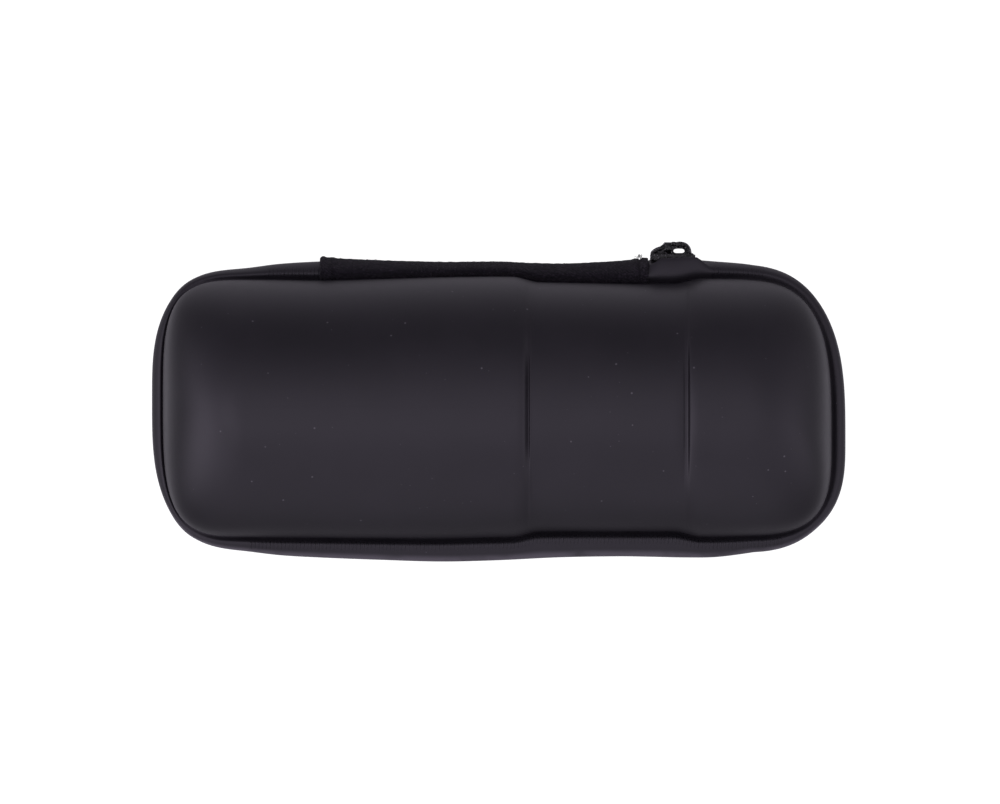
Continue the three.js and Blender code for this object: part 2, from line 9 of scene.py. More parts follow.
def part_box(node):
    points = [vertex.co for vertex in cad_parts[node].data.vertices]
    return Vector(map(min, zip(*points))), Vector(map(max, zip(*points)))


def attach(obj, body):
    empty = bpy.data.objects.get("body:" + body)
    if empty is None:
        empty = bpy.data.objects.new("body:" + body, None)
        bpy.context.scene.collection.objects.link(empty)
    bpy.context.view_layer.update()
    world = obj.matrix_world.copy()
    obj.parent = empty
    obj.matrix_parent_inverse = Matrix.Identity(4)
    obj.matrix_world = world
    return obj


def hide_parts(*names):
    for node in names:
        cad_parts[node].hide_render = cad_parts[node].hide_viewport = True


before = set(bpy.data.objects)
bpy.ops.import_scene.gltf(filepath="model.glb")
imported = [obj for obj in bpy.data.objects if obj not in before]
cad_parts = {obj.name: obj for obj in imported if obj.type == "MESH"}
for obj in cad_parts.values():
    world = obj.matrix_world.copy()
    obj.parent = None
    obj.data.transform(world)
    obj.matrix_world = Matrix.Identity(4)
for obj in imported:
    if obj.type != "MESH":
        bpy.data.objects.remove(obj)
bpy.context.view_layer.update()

# Camera
# The photograph looks straight down on the lying bag from far away, so that hardly any perspective shows.
# Its frame is known at the height of the zip, whose outline it was measured by.
MM = 0.001
ZIP_Z = 36.2  # height of the zip's plane, mm
VIEW_WIDTH = 280  # what the frame takes in at that height
VIEW_AT = (0.56, 1.82)
CAMERA_HEIGHT = 2500  # above that plane
SENSOR = 36
CLIP = (0.1, 100)  # m


def put(name, data):
    """A new object in the scene."""
    made = bpy.data.objects.new(name, data)
    bpy.context.scene.collection.objects.link(made)
    return made


camera_data = bpy.data.cameras.new("camera")
camera_data.sensor_width = SENSOR
camera_data.lens = SENSOR * CAMERA_HEIGHT / VIEW_WIDTH
camera_data.clip_start, camera_data.clip_end = CLIP
camera = put("camera", camera_data)
camera.location = (VIEW_AT[0] * MM, VIEW_AT[1] * MM, (ZIP_Z + CAMERA_HEIGHT) * MM)
bpy.context.scene.camera = camera

# Front and back shells
# Two halves of laminated foam with a smooth coated skin, pressed hot in a mould shaped like half a drinking
# bottle. The waist is a shallow step pressed into each, and the rims are turned in over the zip's tapes.
HALF_LENGTH = 94  # base rim to the middle, mm
HALF_WIDTH = 37
HALF_DEPTH = 37
WALL = 3
HEAD = 41.1  # neck rim to the waist
WAIST = 45.1
WAIST_DEPTH = 1.4
STEP_AT_RIM = 8  # length of each step there
SHOULDER = 5.6  # how far the mould's rounded shoulder reaches from each step at the crown
STEP_FOOT = 0.9  # how far the sharp foot lies inside the waist
SHOULDER_POWER = 5
CREASE_DEPTH = 1.0  # of the sharp crease along each foot
CREASE_WIDTH = 0.95  # its half width on the side towards the base
CREASE_STEEP = 0.4  # and on the side towards the neck
CREASE_AT_SIDES = 0.1  # share of its depth that is left down the sides
FOOT_SHIFT = (0.6, -0.45)  # of each foot at the crown from its place at the rims
SKIN_INSET = 0.85  # how far the skin's edge lies inside the zip's seam, and the same at the base's end
BASE_INSET = 0.5
ZIP_INSET = 0.9  # and on the zip's side and round the neck
BASE_CHANNEL = 0.45  # the channel's width at each end as a share of its width elsewhere
NECK_CHANNEL = 1.35
DOME = 24  # length of the rounding of each end at the crown
BASE_CORNER = 23.8  # how far the base's corners reach along the bag
HINGE_CORNER = 30.8  # the neck's corners on the hinge's side and on the zip's
ZIP_CORNER = 27.5
BASE_TIP = 2.5  # how far each end's furthest point lies to the hinge's side
NECK_TIP = -9
RIM_Z = 7  # the heights below are from the zip's plane
RIM_ROUND = 2
SPRING_Z = 9  # where the rim's rounding ends
BASE_SQUARE = 3.5  # exponents of the outline's corners and of the shells' sections
NECK_SQUARE = 3.25
TOP_SQUARE = 2.0
CROWN_SQUARE = 2.12
DOME_SQUARE = 2.5
CROWN_FROM, CROWN_TO = 0.35, 0.85  # levels up the shell where the steps start and end turning sharp
CREASE_FROM = 0.5  # and where the creases start to deepen
AT_BASE = (HALF_LENGTH - 10, HALF_LENGTH - 2)  # where each inset and channel width starts and is full, mm
AT_ZIP = (5, 25)
AT_NECK_RIM = (HALF_LENGTH - 14, HALF_LENGTH - 4)
AT_NECK = (52, 72)
OFF_NECK_CORNER = (-36, -15)

# A column for each place along the half length. hinge and zip are the rim's half width on that side as a
# share of the half width, the rest are how far the band stands out there as shares of SWELL.
SWELL = 5.8
SIDE_AT = [-0.89, -0.76, -0.65, -0.53, -0.35, -0.17, 0.0, 0.18, 0.36, 0.45, 0.56, 0.65, 0.76]
SIDES = {
    "hinge": [0.99, 0.992, 0.992, 0.988, 0.999, 1.012, 1.018, 1.01, 1.002, 1.0, 1.0, 1.0, 0.995],
    "zip": [0.99, 0.99, 0.993, 0.995, 1.0, 1.002, 0.992, 0.986, 0.986, 0.986, 0.987, 0.988, 0.98],
    "hinge_tape": [0.33, 0.44, 0.66, 0.8, 0.8, 0.7, 0.6, 0.6, 0.8, 0.8, 0.82, 0.72, 0.62],
    "zip_tape": [0.37, 0.56, 0.75, 0.85, 0.93, 1.0, 1.0, 0.9, 0.85, 0.87, 0.9, 0.87, 0.7],
    "gusset": [0.9, 0.9, 0.9, 0.97, 0.79, 0.63, 0.6, 0.56, 0.74, 0.9, 0.9, 0.9, 0.9],
}
CORNER_SWELL = {"base": (0.26, 0.26, 0.5), "neck": (0.42, 0.38, 0.57)}  # hinge corner, zip corner, tip

waist_neck_x = HALF_LENGTH - HEAD
waist_base_x = waist_neck_x - WAIST
foot_base_x = waist_base_x + FOOT_SHIFT[0]
foot_neck_x = waist_neck_x + FOOT_SHIFT[1]
base_corner_x = BASE_CORNER - HALF_LENGTH


def cubic(at, values, slopes, wanted):
    """A smooth curve through values, whose last axis runs along at, and with these slopes there."""
    i = np.clip(np.searchsorted(at, wanted, side="right") - 1, 0, len(at) - 2)
    span = at[i + 1] - at[i]
    t = (wanted - at[i]) / span
    rest = 1 - t
    return (
        values[..., i] * (1 + 2 * t) * rest**2 + slopes[..., i] * span * t * rest**2
        + values[..., i + 1] * (3 - 2 * t) * t**2 - slopes[..., i + 1] * span * rest * t**2
    )


def side_value(name, x):
    """One row of SIDES, smooth between its columns and held at its ends."""
    at, values = np.array(SIDE_AT), np.array(SIDES[name])
    slopes = np.empty(len(at))
    slopes[1:-1] = (values[2:] - values[:-2]) / (at[2:] - at[:-2])
    slopes[0] = (values[1] - values[0]) / (at[1] - at[0])
    slopes[-1] = (values[-1] - values[-2]) / (at[-1] - at[-2])
    return cubic(at, values, slopes, np.clip(np.asarray(x) / HALF_LENGTH, at[0], at[-1]))


def smooth_step(value, low, high):
    t = np.clip((np.asarray(value, float) - low) / (high - low), 0, 1)
    return t * t * (3 - 2 * t)


def rim_waist(x):
    """1 within the waist at the rims and 0 outside it."""
    half = STEP_AT_RIM / 2
    rise = smooth_step(x, waist_base_x - half, waist_base_x + half)
    return rise - smooth_step(x, waist_neck_x - half, waist_neck_x + half)


def crown_waist(x):
    """The same at the crown, where a rounded shoulder drops to a sharp foot."""
    def fall(inside):
        share = np.clip((inside + SHOULDER) / (SHOULDER + STEP_FOOT), 0, 1)
        return share**SHOULDER_POWER
    return fall(x - foot_base_x) * fall(foot_neck_x - x)


def crease(x):
    """1 in the middle of the crease along either foot."""
    def one(away):
        return np.exp(-((away / np.where(away < 0, CREASE_WIDTH, CREASE_STEEP)) ** 2))
    return np.maximum(one(x - foot_base_x), one(x - foot_neck_x))


def outline(way, rounder=0.0):
    """Points of the rims' outline. way goes once round it: 0 at the base's tip, by the hinge's side to 3 at
    the neck's tip, and back by the zip's side to 6. The whole numbers between are where the corners start.
    rounder is from 0 to 1, where the corners are as round as on top of the shells."""
    way = np.mod(way, 6)
    hinge = way < 3
    place = np.where(hinge, way, 6 - way)
    neck_x = HALF_LENGTH - np.where(hinge, HINGE_CORNER, ZIP_CORNER)
    turn = np.where(place < 1, 1 - place, np.maximum(place - 2, 0)) * math.pi / 2
    square = np.where(place < 1, BASE_SQUARE, NECK_SQUARE)
    power = 2 / (square + (TOP_SQUARE - square) * rounder)
    along = np.sin(turn) ** power
    across = np.maximum(np.cos(turn), 0) ** power
    x = base_corner_x + (neck_x - base_corner_x) * (place - 1)
    x = np.where(place < 1, base_corner_x - BASE_CORNER * along, x)
    x = np.where(place > 2, neck_x + (HALF_LENGTH - neck_x) * along, x)
    half = HALF_WIDTH * np.where(hinge, side_value("hinge", x), -side_value("zip", x))
    tip = np.where(place < 1, BASE_TIP, NECK_TIP)
    return np.stack([x, tip + (half - tip) * across], axis=-1)


def way_of(x, hinge=True):
    """The way at which one side's outline is at x."""
    x = np.asarray(x, float)
    neck_x = HALF_LENGTH - (HINGE_CORNER if hinge else ZIP_CORNER)

    def turn(share, square):
        return 2 / math.pi * np.arcsin(np.clip(share, 0, 1) ** (square / 2))
    place = 1 + (x - base_corner_x) / (neck_x - base_corner_x)
    place = np.where(x < base_corner_x, 1 - turn((base_corner_x - x) / BASE_CORNER, BASE_SQUARE), place)
    place = np.where(x > neck_x, 2 + turn((x - neck_x) / (HALF_LENGTH - neck_x), NECK_SQUARE), place)
    return place if hinge else 6 - place


# The outline's length, so that stations can be spaced evenly along it.
FINE_POINTS = 500  # to each stretch of it
fine_turn = (1 - np.cos(np.linspace(0, math.pi, FINE_POINTS))) / 2
fine_way = np.unique(np.concatenate([start + fine_turn for start in range(-6, 12)]))
fine_points = outline(fine_way)
fine_length = np.concatenate([[0], np.cumsum(np.hypot(*np.diff(fine_points, axis=0).T))])


def spaced(from_way, to_way, pitch):
    """Ways from one to another, evenly apart along the outline and about pitch mm."""
    start, end = np.interp([from_way, to_way], fine_way, fine_length)
    count = max(round((end - start) / pitch), 1)
    return np.interp(np.linspace(start, end, count + 1), fine_length, fine_way)


class Stations:
    """Where sections stand along the outline, which way is out there, and how far the band stands out."""

    def __init__(self, way):
        small = 1e-3
        self.way = np.asarray(way, float)
        self.point = outline(self.way)
        along = outline(self.way + small) - outline(self.way - small)
        along /= np.hypot(along[:, :1], along[:, 1:])
        self.out = np.stack([-along[:, 1], along[:, 0]], axis=1)
        self.length = np.interp(self.way, fine_way, fine_length)
        x, y = self.point.T
        self.drop = WAIST_DEPTH * rim_waist(x)
        self.rim = self.point - self.drop[:, None] * self.out
        at_base = smooth_step(-x, *AT_BASE)
        at_zip = np.maximum(smooth_step(-y, *AT_ZIP), smooth_step(x, *AT_NECK_RIM))
        inset = SKIN_INSET + (ZIP_INSET - SKIN_INSET) * at_zip
        self.inset = inset + (BASE_INSET - inset) * at_base
        at_neck = smooth_step(x, *AT_NECK) * smooth_step(y, *OFF_NECK_CORNER)
        self.channel = 1 + (BASE_CHANNEL - 1) * at_base + (NECK_CHANNEL - 1) * at_neck
        way = np.mod(self.way, 6)
        hinge = way < 3
        place = np.where(hinge, way, 6 - way)
        swell = np.where(hinge, side_value("hinge_tape", x), side_value("zip_tape", x))
        for end, turn in (("base", 1 - place), ("neck", place - 2)):
            corner_hinge, corner_zip, tip = CORNER_SWELL[end]
            corner = np.where(hinge, corner_hinge, corner_zip)
            turned = swell + (corner - swell) * smooth_step(turn, 0, 0.5)
            turned = turned + (tip - turned) * smooth_step(turn, 0.5, 1)
            swell = np.where(turn > 0, turned, swell)
        self.tape = swell * SWELL + self.drop
        self.gusset = side_value("gusset", x) * SWELL + self.drop

    def place(self, outwards, height):
        """Points in mm. outwards and height have a row per station, from the rim and the zip's plane."""
        outwards, height = np.atleast_2d(outwards), np.atleast_2d(height)
        flat = self.rim[:, None, :] + self.out[:, None, :] * outwards[..., None]
        height = np.broadcast_to(height, flat.shape[:2])
        return np.concatenate([flat, height[..., None]], axis=-1)


def smooth(mesh):
    mesh.polygons.foreach_set("use_smooth", [True] * len(mesh.polygons))


def add_mesh(name, points, faces, lift=True):
    """A mesh object from points in mm. lift puts heights that are from the zip's plane in the frame."""
    points = np.asarray(points, float).reshape(-1, 3) + (0, 0, ZIP_Z if lift else 0)
    mesh = bpy.data.meshes.new(name)
    mesh.from_pydata((points * MM).tolist(), [], [list(map(int, face)) for face in faces])
    smooth(mesh)
    mesh.update()
    return put(name, mesh)


def grid_faces(rows, columns, closed_rows=False, closed_columns=False):
    """Quads over a grid of points, which closes on itself if asked."""
    down = np.arange(rows if closed_rows else rows - 1)
    right = np.arange(columns if closed_columns else columns - 1)
    i, j = (values.ravel() for values in np.meshgrid(down, right, indexing="ij"))
    below, beside = (i + 1) % rows, (j + 1) % columns
    corners = [i * columns + j, below * columns + j, below * columns + beside, i * columns + beside]
    return np.stack(corners, axis=1)


def capped_faces(rows, columns):
    """The same for a tube, with a face over each end."""
    caps = [list(range(columns)), [(rows - 1) * columns + i for i in reversed(range(columns))]]
    return [*grid_faces(rows, columns, closed_columns=True), *caps]


APART = 1e-6  # m, under which points are one


def tidy_mesh(made):
    """Merges points that coincide, and turns the faces of the closed mesh outwards."""
    work = bmesh.new()
    work.from_mesh(made.data)
    bmesh.ops.remove_doubles(work, verts=work.verts, dist=APART)
    bmesh.ops.dissolve_degenerate(work, edges=work.edges, dist=APART / 2)
    bmesh.ops.recalc_face_normals(work, faces=work.faces)
    work.to_mesh(made.data)
    work.free()
    return made


dome_x = HALF_LENGTH - DOME
EVEN_PITCH = 1.5
STEP_PITCH = 0.4
CREASE_PITCH = 0.14
END_STATIONS = 34
CROWN_RINGS = 46
INNER_RINGS = 9
RIM_RINGS = 6


def shell_ways():
    """Ways of the stations, at the same places on both sides, so that the rings meet on the middle line."""
    even = np.arange(-dome_x, dome_x + EVEN_PITCH / 2, EVEN_PITCH)
    near = np.concatenate([np.arange(-SHOULDER - 1, -1, STEP_PITCH), np.arange(-1, 1.3, CREASE_PITCH)])
    steps = np.concatenate([foot_base_x + near, foot_neck_x - near])
    clear = [np.abs(steps - x).min() > STEP_PITCH for x in even]
    xs = np.sort(np.concatenate([even[clear], steps]))
    xs = np.concatenate([[-dome_x], xs[np.abs(xs) < dome_x - STEP_PITCH], [dome_x]])
    hinge, zips = way_of(xs), way_of(xs, hinge=False)[::-1]

    def end(from_way, to_way):
        start, stop = np.interp([from_way, to_way], fine_way, fine_length)
        return np.interp(np.linspace(start, stop, END_STATIONS + 1)[1:-1], fine_length, fine_way)
    return np.concatenate([
        [0], end(0, hinge[0]), hinge, end(hinge[-1], 3), [3], end(3, zips[0]), zips, end(zips[-1], 6),
    ])


def shell(name, up):
    stations = Stations(shell_ways())
    limit = ZIP_Z if up < 0 else math.inf

    def crown_ring(level, inset):
        foot_x = stations.point[:, 0]
        sharp = smooth_step(level, CROWN_FROM, CROWN_TO)
        drop = WAIST_DEPTH * (rim_waist(foot_x) * (1 - sharp) + crown_waist(foot_x) * sharp)
        if inset == 0:
            share = CREASE_AT_SIDES + (1 - CREASE_AT_SIDES) * smooth_step(level, CREASE_FROM, CROWN_TO)
            drop = drop + CREASE_DEPTH * crease(foot_x) * share * smooth_step(level, 0, 0.3)
        top = HALF_DEPTH - inset - drop
        spring = np.arcsin((SPRING_Z / top) ** (CROWN_SQUARE / 2))
        angle = spring + (math.pi / 2 - spring) * level
        narrowed = np.maximum(np.cos(angle), 0) / np.cos(spring)
        point = outline(stations.way, smooth_step(level, 0, 0.8))
        foot = point - stations.out * (drop + inset + stations.inset)[:, None]
        end = np.clip(foot[:, 0], -dome_x, dome_x)
        x = end + (foot[:, 0] - end) * narrowed ** (2 / DOME_SQUARE)
        y = foot[:, 1] * narrowed ** (2 / CROWN_SQUARE)
        z = np.minimum(top * np.sin(angle) ** (2 / CROWN_SQUARE), limit - inset)
        return np.stack([x, y, up * z], axis=1)

    def rim_ring(inset, height):
        foot = stations.rim - stations.out * (inset + stations.inset)[:, None]
        return np.column_stack([foot, np.full(len(foot), up * height)])

    turned = np.linspace(0, math.pi / 2, RIM_RINGS + 1)[:-1]
    rim = [rim_ring(RIM_ROUND * (1 - math.sin(a)), RIM_Z + RIM_ROUND * (1 - math.cos(a))) for a in turned]
    rings = [
        *[crown_ring(level, WALL) for level in np.linspace(1, 0, INNER_RINGS)],
        rim_ring(WALL, RIM_Z),
        *rim,
        *[crown_ring(level, 0) for level in np.linspace(0, 1, CROWN_RINGS)],
    ]
    points = np.stack(rings)
    return tidy_mesh(add_mesh(name, points, grid_faces(len(rings), len(stations.way), closed_columns=True)))


class Value:
    """One value in a finish's nodes. Arithmetic on it adds Math nodes."""

    def __init__(self, finish, socket):
        self.finish = finish
        self.socket = socket

    def maths(self, operation, *values):
        return self.finish.node("ShaderNodeMath", {"operation": operation}, dict(enumerate(values)))

    def sine(self):
        return self.maths("SINE", self)

    def __add__(self, other):
        return self.maths("ADD", self, other)

    def __sub__(self, other):
        return self.maths("SUBTRACT", self, other)

    def __rsub__(self, other):
        return self.maths("SUBTRACT", other, self)

    def __mul__(self, other):
        return self.maths("MULTIPLY", self, other)

    def __truediv__(self, other):
        return self.maths("DIVIDE", self, other)

    def __pow__(self, other):
        return self.maths("POWER", self, other)

    __radd__ = __add__
    __rmul__ = __mul__

    def rises(self, low, high):
        """0 below low, 1 above high and smooth between."""
        sockets = {"Value": self, "From Min": low, "From Max": high}
        return self.finish.node("ShaderNodeMapRange", {"interpolation_type": "SMOOTHSTEP"}, sockets)


class Finish:
    """A material, written as expressions on its nodes' values."""

    def __init__(self, name):
        self.material = bpy.data.materials.new(name)
        self.material.use_nodes = True
        self.tree = self.material.node_tree
        self.tree.nodes.clear()
        self.shader = self.tree.nodes.new("ShaderNodeBsdfPrincipled")
        output = self.tree.nodes.new("ShaderNodeOutputMaterial")
        self.tree.links.new(self.shader.outputs[0], output.inputs[0])

    def join(self, value, socket):
        if isinstance(value, Value):
            self.tree.links.new(value.socket, socket)
        else:
            socket.default_value = value

    def node(self, kind, settings, sockets, output=0):
        made = self.tree.nodes.new(kind)
        for key, value in settings.items():
            setattr(made, key, value)
        for key, value in sockets.items():
            self.join(value, made.inputs[key])
        return Value(self, made.outputs[output])

    def place(self):
        """The place on the object, in mm."""
        at = self.node("ShaderNodeTexCoord", {}, {}, "Object")
        return self.node("ShaderNodeVectorMath", {"operation": "SCALE"}, {0: at, "Scale": 1 / MM})

    def axis(self, at, index):
        """One of a place's three coordinates."""
        return self.node("ShaderNodeSeparateXYZ", {}, {0: at}, index)

    def noise(self, at, size, detail=2, roughness=0.5):
        """Noise about 0.5, with features of a size in the unit of at."""
        sockets = {"Vector": at, "Scale": 1 / size, "Detail": detail, "Roughness": roughness}
        return self.node("ShaderNodeTexNoise", {}, sockets)

    def blend(self, share, first, second):
        """One colour, and another where share is 1."""
        return self.node("ShaderNodeMix", {"data_type": "RGBA"}, {0: share, 6: first, 7: second}, 2)

    def bump(self, height, depth, under=None):
        """A normal from a height between 0 and 1, which stands for depth mm."""
        sockets = {"Height": height, "Distance": depth * MM, "Strength": 1}
        if under:
            sockets["Normal"] = under
        return self.node("ShaderNodeBump", {}, sockets)

    def attribute(self, name):
        return self.node("ShaderNodeAttribute", {"attribute_name": name}, {}, "Fac")

    def specks(self, at, cell, radius, share):
        """Small round specks, at most one in each cell and only in a share of the cells."""
        sockets = {"Vector": at, "Scale": 1 / cell}
        away = self.node("ShaderNodeTexVoronoi", {}, sockets, "Distance")
        chance = self.node("ShaderNodeTexVoronoi", {}, sockets, "Color")
        chance = self.node("ShaderNodeSeparateColor", {}, {0: chance}, 0)
        return chance.rises(1 - share, 1 - share / 2) * (1 - away.rises(radius / cell / 2, radius / cell))

    def set(self, **sockets):
        for key, value in sockets.items():
            self.join(value, self.shader.inputs[key.replace("_", " ")])


SKIN_COLOUR = (0.0105, 0.0095, 0.0125, 1)
SKIN_WORN = (0.0145, 0.0130, 0.0170, 1)
DUST_COLOUR = (0.16, 0.15, 0.17, 1)
SKIN_TINT = (0.955, 0.903, 0.99, 1)
CLOUD_SIZE, MOTTLE_SIZE, GRAIN_SIZE = 22, 2.4, 0.16
CLOUD_DEPTH, GRAIN_DEPTH = 0.05, 0.005
DUST_COARSE = (4.2, 0.36, 0.4)  # size of a speck's cell, the speck's radius, and the share of such cells
DUST_FINE = (2.4, 0.2, 0.35)

skin = Finish("shell_skin")
skin_at = skin.place()
cloud = skin.noise(skin_at, CLOUD_SIZE)
mottle = skin.noise(skin_at, MOTTLE_SIZE, 3)
grain = skin.noise(skin_at, GRAIN_SIZE, 2, 0.6)
dust = skin.specks(skin_at, *DUST_COARSE) + 0.6 * skin.specks(skin_at, *DUST_FINE)
colour = skin.blend(cloud.rises(0.35, 0.7) * 0.6 + mottle * 0.3, SKIN_COLOUR, SKIN_WORN)
skin.set(
    Base_Color=skin.blend(dust * 0.5, colour, DUST_COLOUR),
    Roughness=0.34 + 0.06 * cloud + 0.05 * mottle + 0.1 * dust,
    Specular_Tint=SKIN_TINT,
    Normal=skin.bump(grain, GRAIN_DEPTH, skin.bump(cloud, CLOUD_DEPTH)),
)

for shell_name, up in (("front", 1), ("back", -1)):
    half_shell = shell(f"{shell_name}_shell_skin", up)
    half_shell.data.materials.append(skin.material)
    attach(half_shell, "bag")
    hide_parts(f"{shell_name}_shell")

# Zip's tapes
# Two coated tapes, sewn inside the shells' rims, which bulge out between them to where they meet. Next to
# the rims the coating follows the cords of the weave below in fine ribs, and further out it is smooth.
TAPE_Z = 6.7
TAPE = 1
SLIT = 0.3
CLEAR = 0.3
SEAM_MARGIN = 4
SEAM_LEAN = 0.9
GUSSET_NECK_X = 42
GUSSET_BASE_X = -49.8
FOLD = 3.5  # length of the gusset's folded ends
TAPE_PITCH = 1.2
TAPE_POINTS = 30  # over the quarter of its section
DIP_DEPTH = 2.1  # of the channel between the rim and the tape
DIP_AT = -0.1  # out from the skin's edge, where the tape starts to rise from it
DIP_WIDTH = 1.5
LIP_FROM, LIP_TO = 41.0, 60.0  # where the slider pushes the tapes' edges out on both its sides
LIP_TAPER = 5
LIP_REACH = 3.0
LIP_Z = 5.1
LIP_WIDTH = 1.15
LIP_RISE = (-0.5, 2.2)  # how far out from the rim the lip starts and is full
TUCK = 0.7  # how far the tapes' ends are pressed in under the gusset's neck end

# From under the gusset's neck end, round the neck, the zip's side and the base, to under its base end.
tape_start = way_of(GUSSET_NECK_X - FOLD + CLEAR)
tape_end = 6 + way_of(GUSSET_BASE_X + FOLD - CLEAR)


def bulge(reach, height, angles):
    """Part of an ellipse in each section, centred where the band comes out from under the rims."""
    reach = np.asarray(reach)[:, None]
    return (reach + RIM_ROUND) * np.cos(angles) - RIM_ROUND, height * np.sin(angles) + 0 * reach


def dipped(stations, outwards, height):
    """The tape's outer side with the channel that it leaves along the rim."""
    channel = stations.channel[:, None]
    past = np.maximum(outwards + stations.inset[:, None] - DIP_AT * channel, 0)
    return height - DIP_DEPTH * np.sqrt(channel) * np.exp(-((past / DIP_WIDTH / channel) ** 2))


def lipped(stations, outwards, height):
    """The tape's outer side with the lip that the slider pushes out."""
    x = stations.point[:, 0]
    at_slider = smooth_step(x, LIP_FROM, LIP_FROM + LIP_TAPER) - smooth_step(x, LIP_TO - LIP_TAPER, LIP_TO)
    at_slider = np.where(stations.point[:, 1] > 0, at_slider, 0)
    lip = np.exp(-(((height - LIP_Z) / LIP_WIDTH) ** 2))
    return outwards + LIP_REACH * at_slider[:, None] * lip * smooth_step(outwards, *LIP_RISE)


def seam_margin(thick):
    """The margin sewn inside a shell, from the rim up and back down."""
    foot, top = -WALL - CLEAR - SKIN_INSET, RIM_Z + SEAM_MARGIN
    outwards = [foot, foot - SEAM_LEAN, foot - SEAM_LEAN - thick, foot - thick]
    return outwards, [TAPE_Z, top, top, TAPE_Z - thick]


def tape(name, up):
    stations = Stations(spaced(tape_start, tape_end, TAPE_PITCH))
    outer_angles = np.linspace(math.asin(SLIT / 2 / TAPE_Z), math.pi / 2, TAPE_POINTS)
    inner_angles = np.linspace(math.pi / 2, math.asin(SLIT / 2 / (TAPE_Z - TAPE)), TAPE_POINTS // 2)
    x, y = stations.point.T
    tucked = TUCK * (1 - smooth_step(x, GUSSET_NECK_X - 1, GUSSET_NECK_X + 0.3))
    tucked = np.where((y > 0) & (x > GUSSET_NECK_X - 2 * FOLD), tucked, 0)
    stations.tape = stations.tape - tucked
    outer = bulge(stations.tape, TAPE_Z, outer_angles)
    outer = (lipped(stations, *outer), dipped(stations, *outer))
    inner = bulge(stations.tape - TAPE, TAPE_Z - TAPE, inner_angles)
    lower = np.minimum(inner[1], dipped(stations, inner[0], TAPE_Z) - TAPE)
    inner = (lipped(stations, inner[0], inner[1] + TAPE), lower)
    margin = [np.tile(values, (len(stations.way), 1)) for values in seam_margin(TAPE)]
    margin[0] = margin[0] + (SKIN_INSET - stations.inset)[:, None]
    outwards = np.concatenate([outer[0], margin[0], inner[0]], axis=1)
    height = np.concatenate([outer[1], margin[1], inner[1]], axis=1)
    points = stations.place(outwards, up * height)
    return tidy_mesh(add_mesh(name, points, capped_faces(*points.shape[:2]))), stations


COATING_DARK = (0.012, 0.011, 0.014, 1)
COATING_PALE = (0.018, 0.016, 0.021, 1)
COATING_WORN_SHEEN = (0.11, 0.10, 0.12, 1)  # paler, for wear and a painted sheen along the crest on the zip's side
WORN_SHEEN_HEIGHT = (5, 22)  # squares of the heights from the zip's plane between which the band of wear and painted sheen fades
WORN_SHEEN_SIDE = (22, 36)  # and how far out on the zip's side it begins and is full
COATING_CLOUD, COATING_GRAIN = 9, 0.2  # sizes of its unevenness
COATING_DUST = (5, 0.25, 0.25)

coating = Finish("coated_tape")
coating_at = coating.place()
coating_cloud = coating.noise(coating_at, COATING_CLOUD)
coating_grain = coating.noise(coating_at, COATING_GRAIN)
coating_dust = coating.specks(coating_at, *COATING_DUST)
# Wear and painted sheen: a paler colour along the tapes' crest on the zip's side, partly standing in for the
# sheen there
on_crest = 1 - ((coating.axis(coating_at, 2) - ZIP_Z) ** 2).rises(*WORN_SHEEN_HEIGHT)
worn_sheen = on_crest * (0 - coating.axis(coating_at, 1)).rises(*WORN_SHEEN_SIDE) * coating_cloud.rises(0.1, 0.6)
coating_base = coating.blend(coating_cloud, COATING_DARK, COATING_PALE)
coating_base = coating.blend(worn_sheen, coating_base, COATING_WORN_SHEEN)
coating.set(
    Base_Color=coating.blend(coating_dust * 0.3, coating_base, DUST_COLOUR),
    Roughness=0.42 + 0.1 * coating_cloud,
    Specular_Tint=SKIN_TINT,
    Normal=coating.bump(coating_grain, 0.01),
)

RIB_PITCH = 1.05
RIB_RADIUS = 0.3
RIB_SUNK = 0.02  # of the cord's middle below the coating
RIB_REACH = 2.5  # how far out from the channel the cords show
RIB_START = 1.3  # and where they start, out from the skin's edge
RIB_TAPE = 3.4  # where the tape stands out less it is smooth
RIB_POINTS = 8
RIB_SEED = 7
RIB_END = 0.02  # how much of a way the cords end short of the tapes
RIB_THICK = (0.75, 1.0)  # shares of the radius that a cord may start with
RIB_THIN = 0.62  # how much of that is lost by its far end
RIB_TIP = 0.3  # share of the thickness that is left at its very ends
STRAND_SIDES = 6


class Tree:
    """A Geometry Nodes tree with named inputs, written as one call for each node."""

    def __init__(self, name, inputs):
        self.tree = bpy.data.node_groups.new(name, "GeometryNodeTree")
        self.tree.interface.new_socket("Geometry", in_out="INPUT", socket_type="NodeSocketGeometry")
        self.inputs = {}
        for label, kind in inputs.items():
            socket = self.tree.interface.new_socket(label, in_out="INPUT", socket_type=kind)
            self.inputs[label] = socket.identifier
        self.tree.interface.new_socket("Geometry", in_out="OUTPUT", socket_type="NodeSocketGeometry")
        self.given = self.tree.nodes.new("NodeGroupInput").outputs

    def node(self, kind, settings, sockets):
        made = self.tree.nodes.new(kind)
        for key, value in settings.items():
            setattr(made, key, value)
        for key, value in sockets.items():
            if isinstance(value, bpy.types.NodeSocket):
                self.tree.links.new(value, made.inputs[key])
            else:
                made.inputs[key].default_value = value
        return made.outputs

    def end(self, geometry):
        output = self.tree.nodes.new("NodeGroupOutput")
        self.tree.links.new(geometry, output.inputs[0])

    def grow(self, name, start, values):
        """A plain mesh object made by the tree from the object start, which is then removed."""
        modifier = start.modifiers.new("grow", "NODES")
        modifier.node_group = self.tree
        for label, value in values.items():
            modifier[self.inputs[label]] = value
        seen = start.evaluated_get(bpy.context.evaluated_depsgraph_get())
        mesh = bpy.data.meshes.new_from_object(seen)
        mesh.name = name
        bpy.data.objects.remove(start)
        return put(name, mesh)


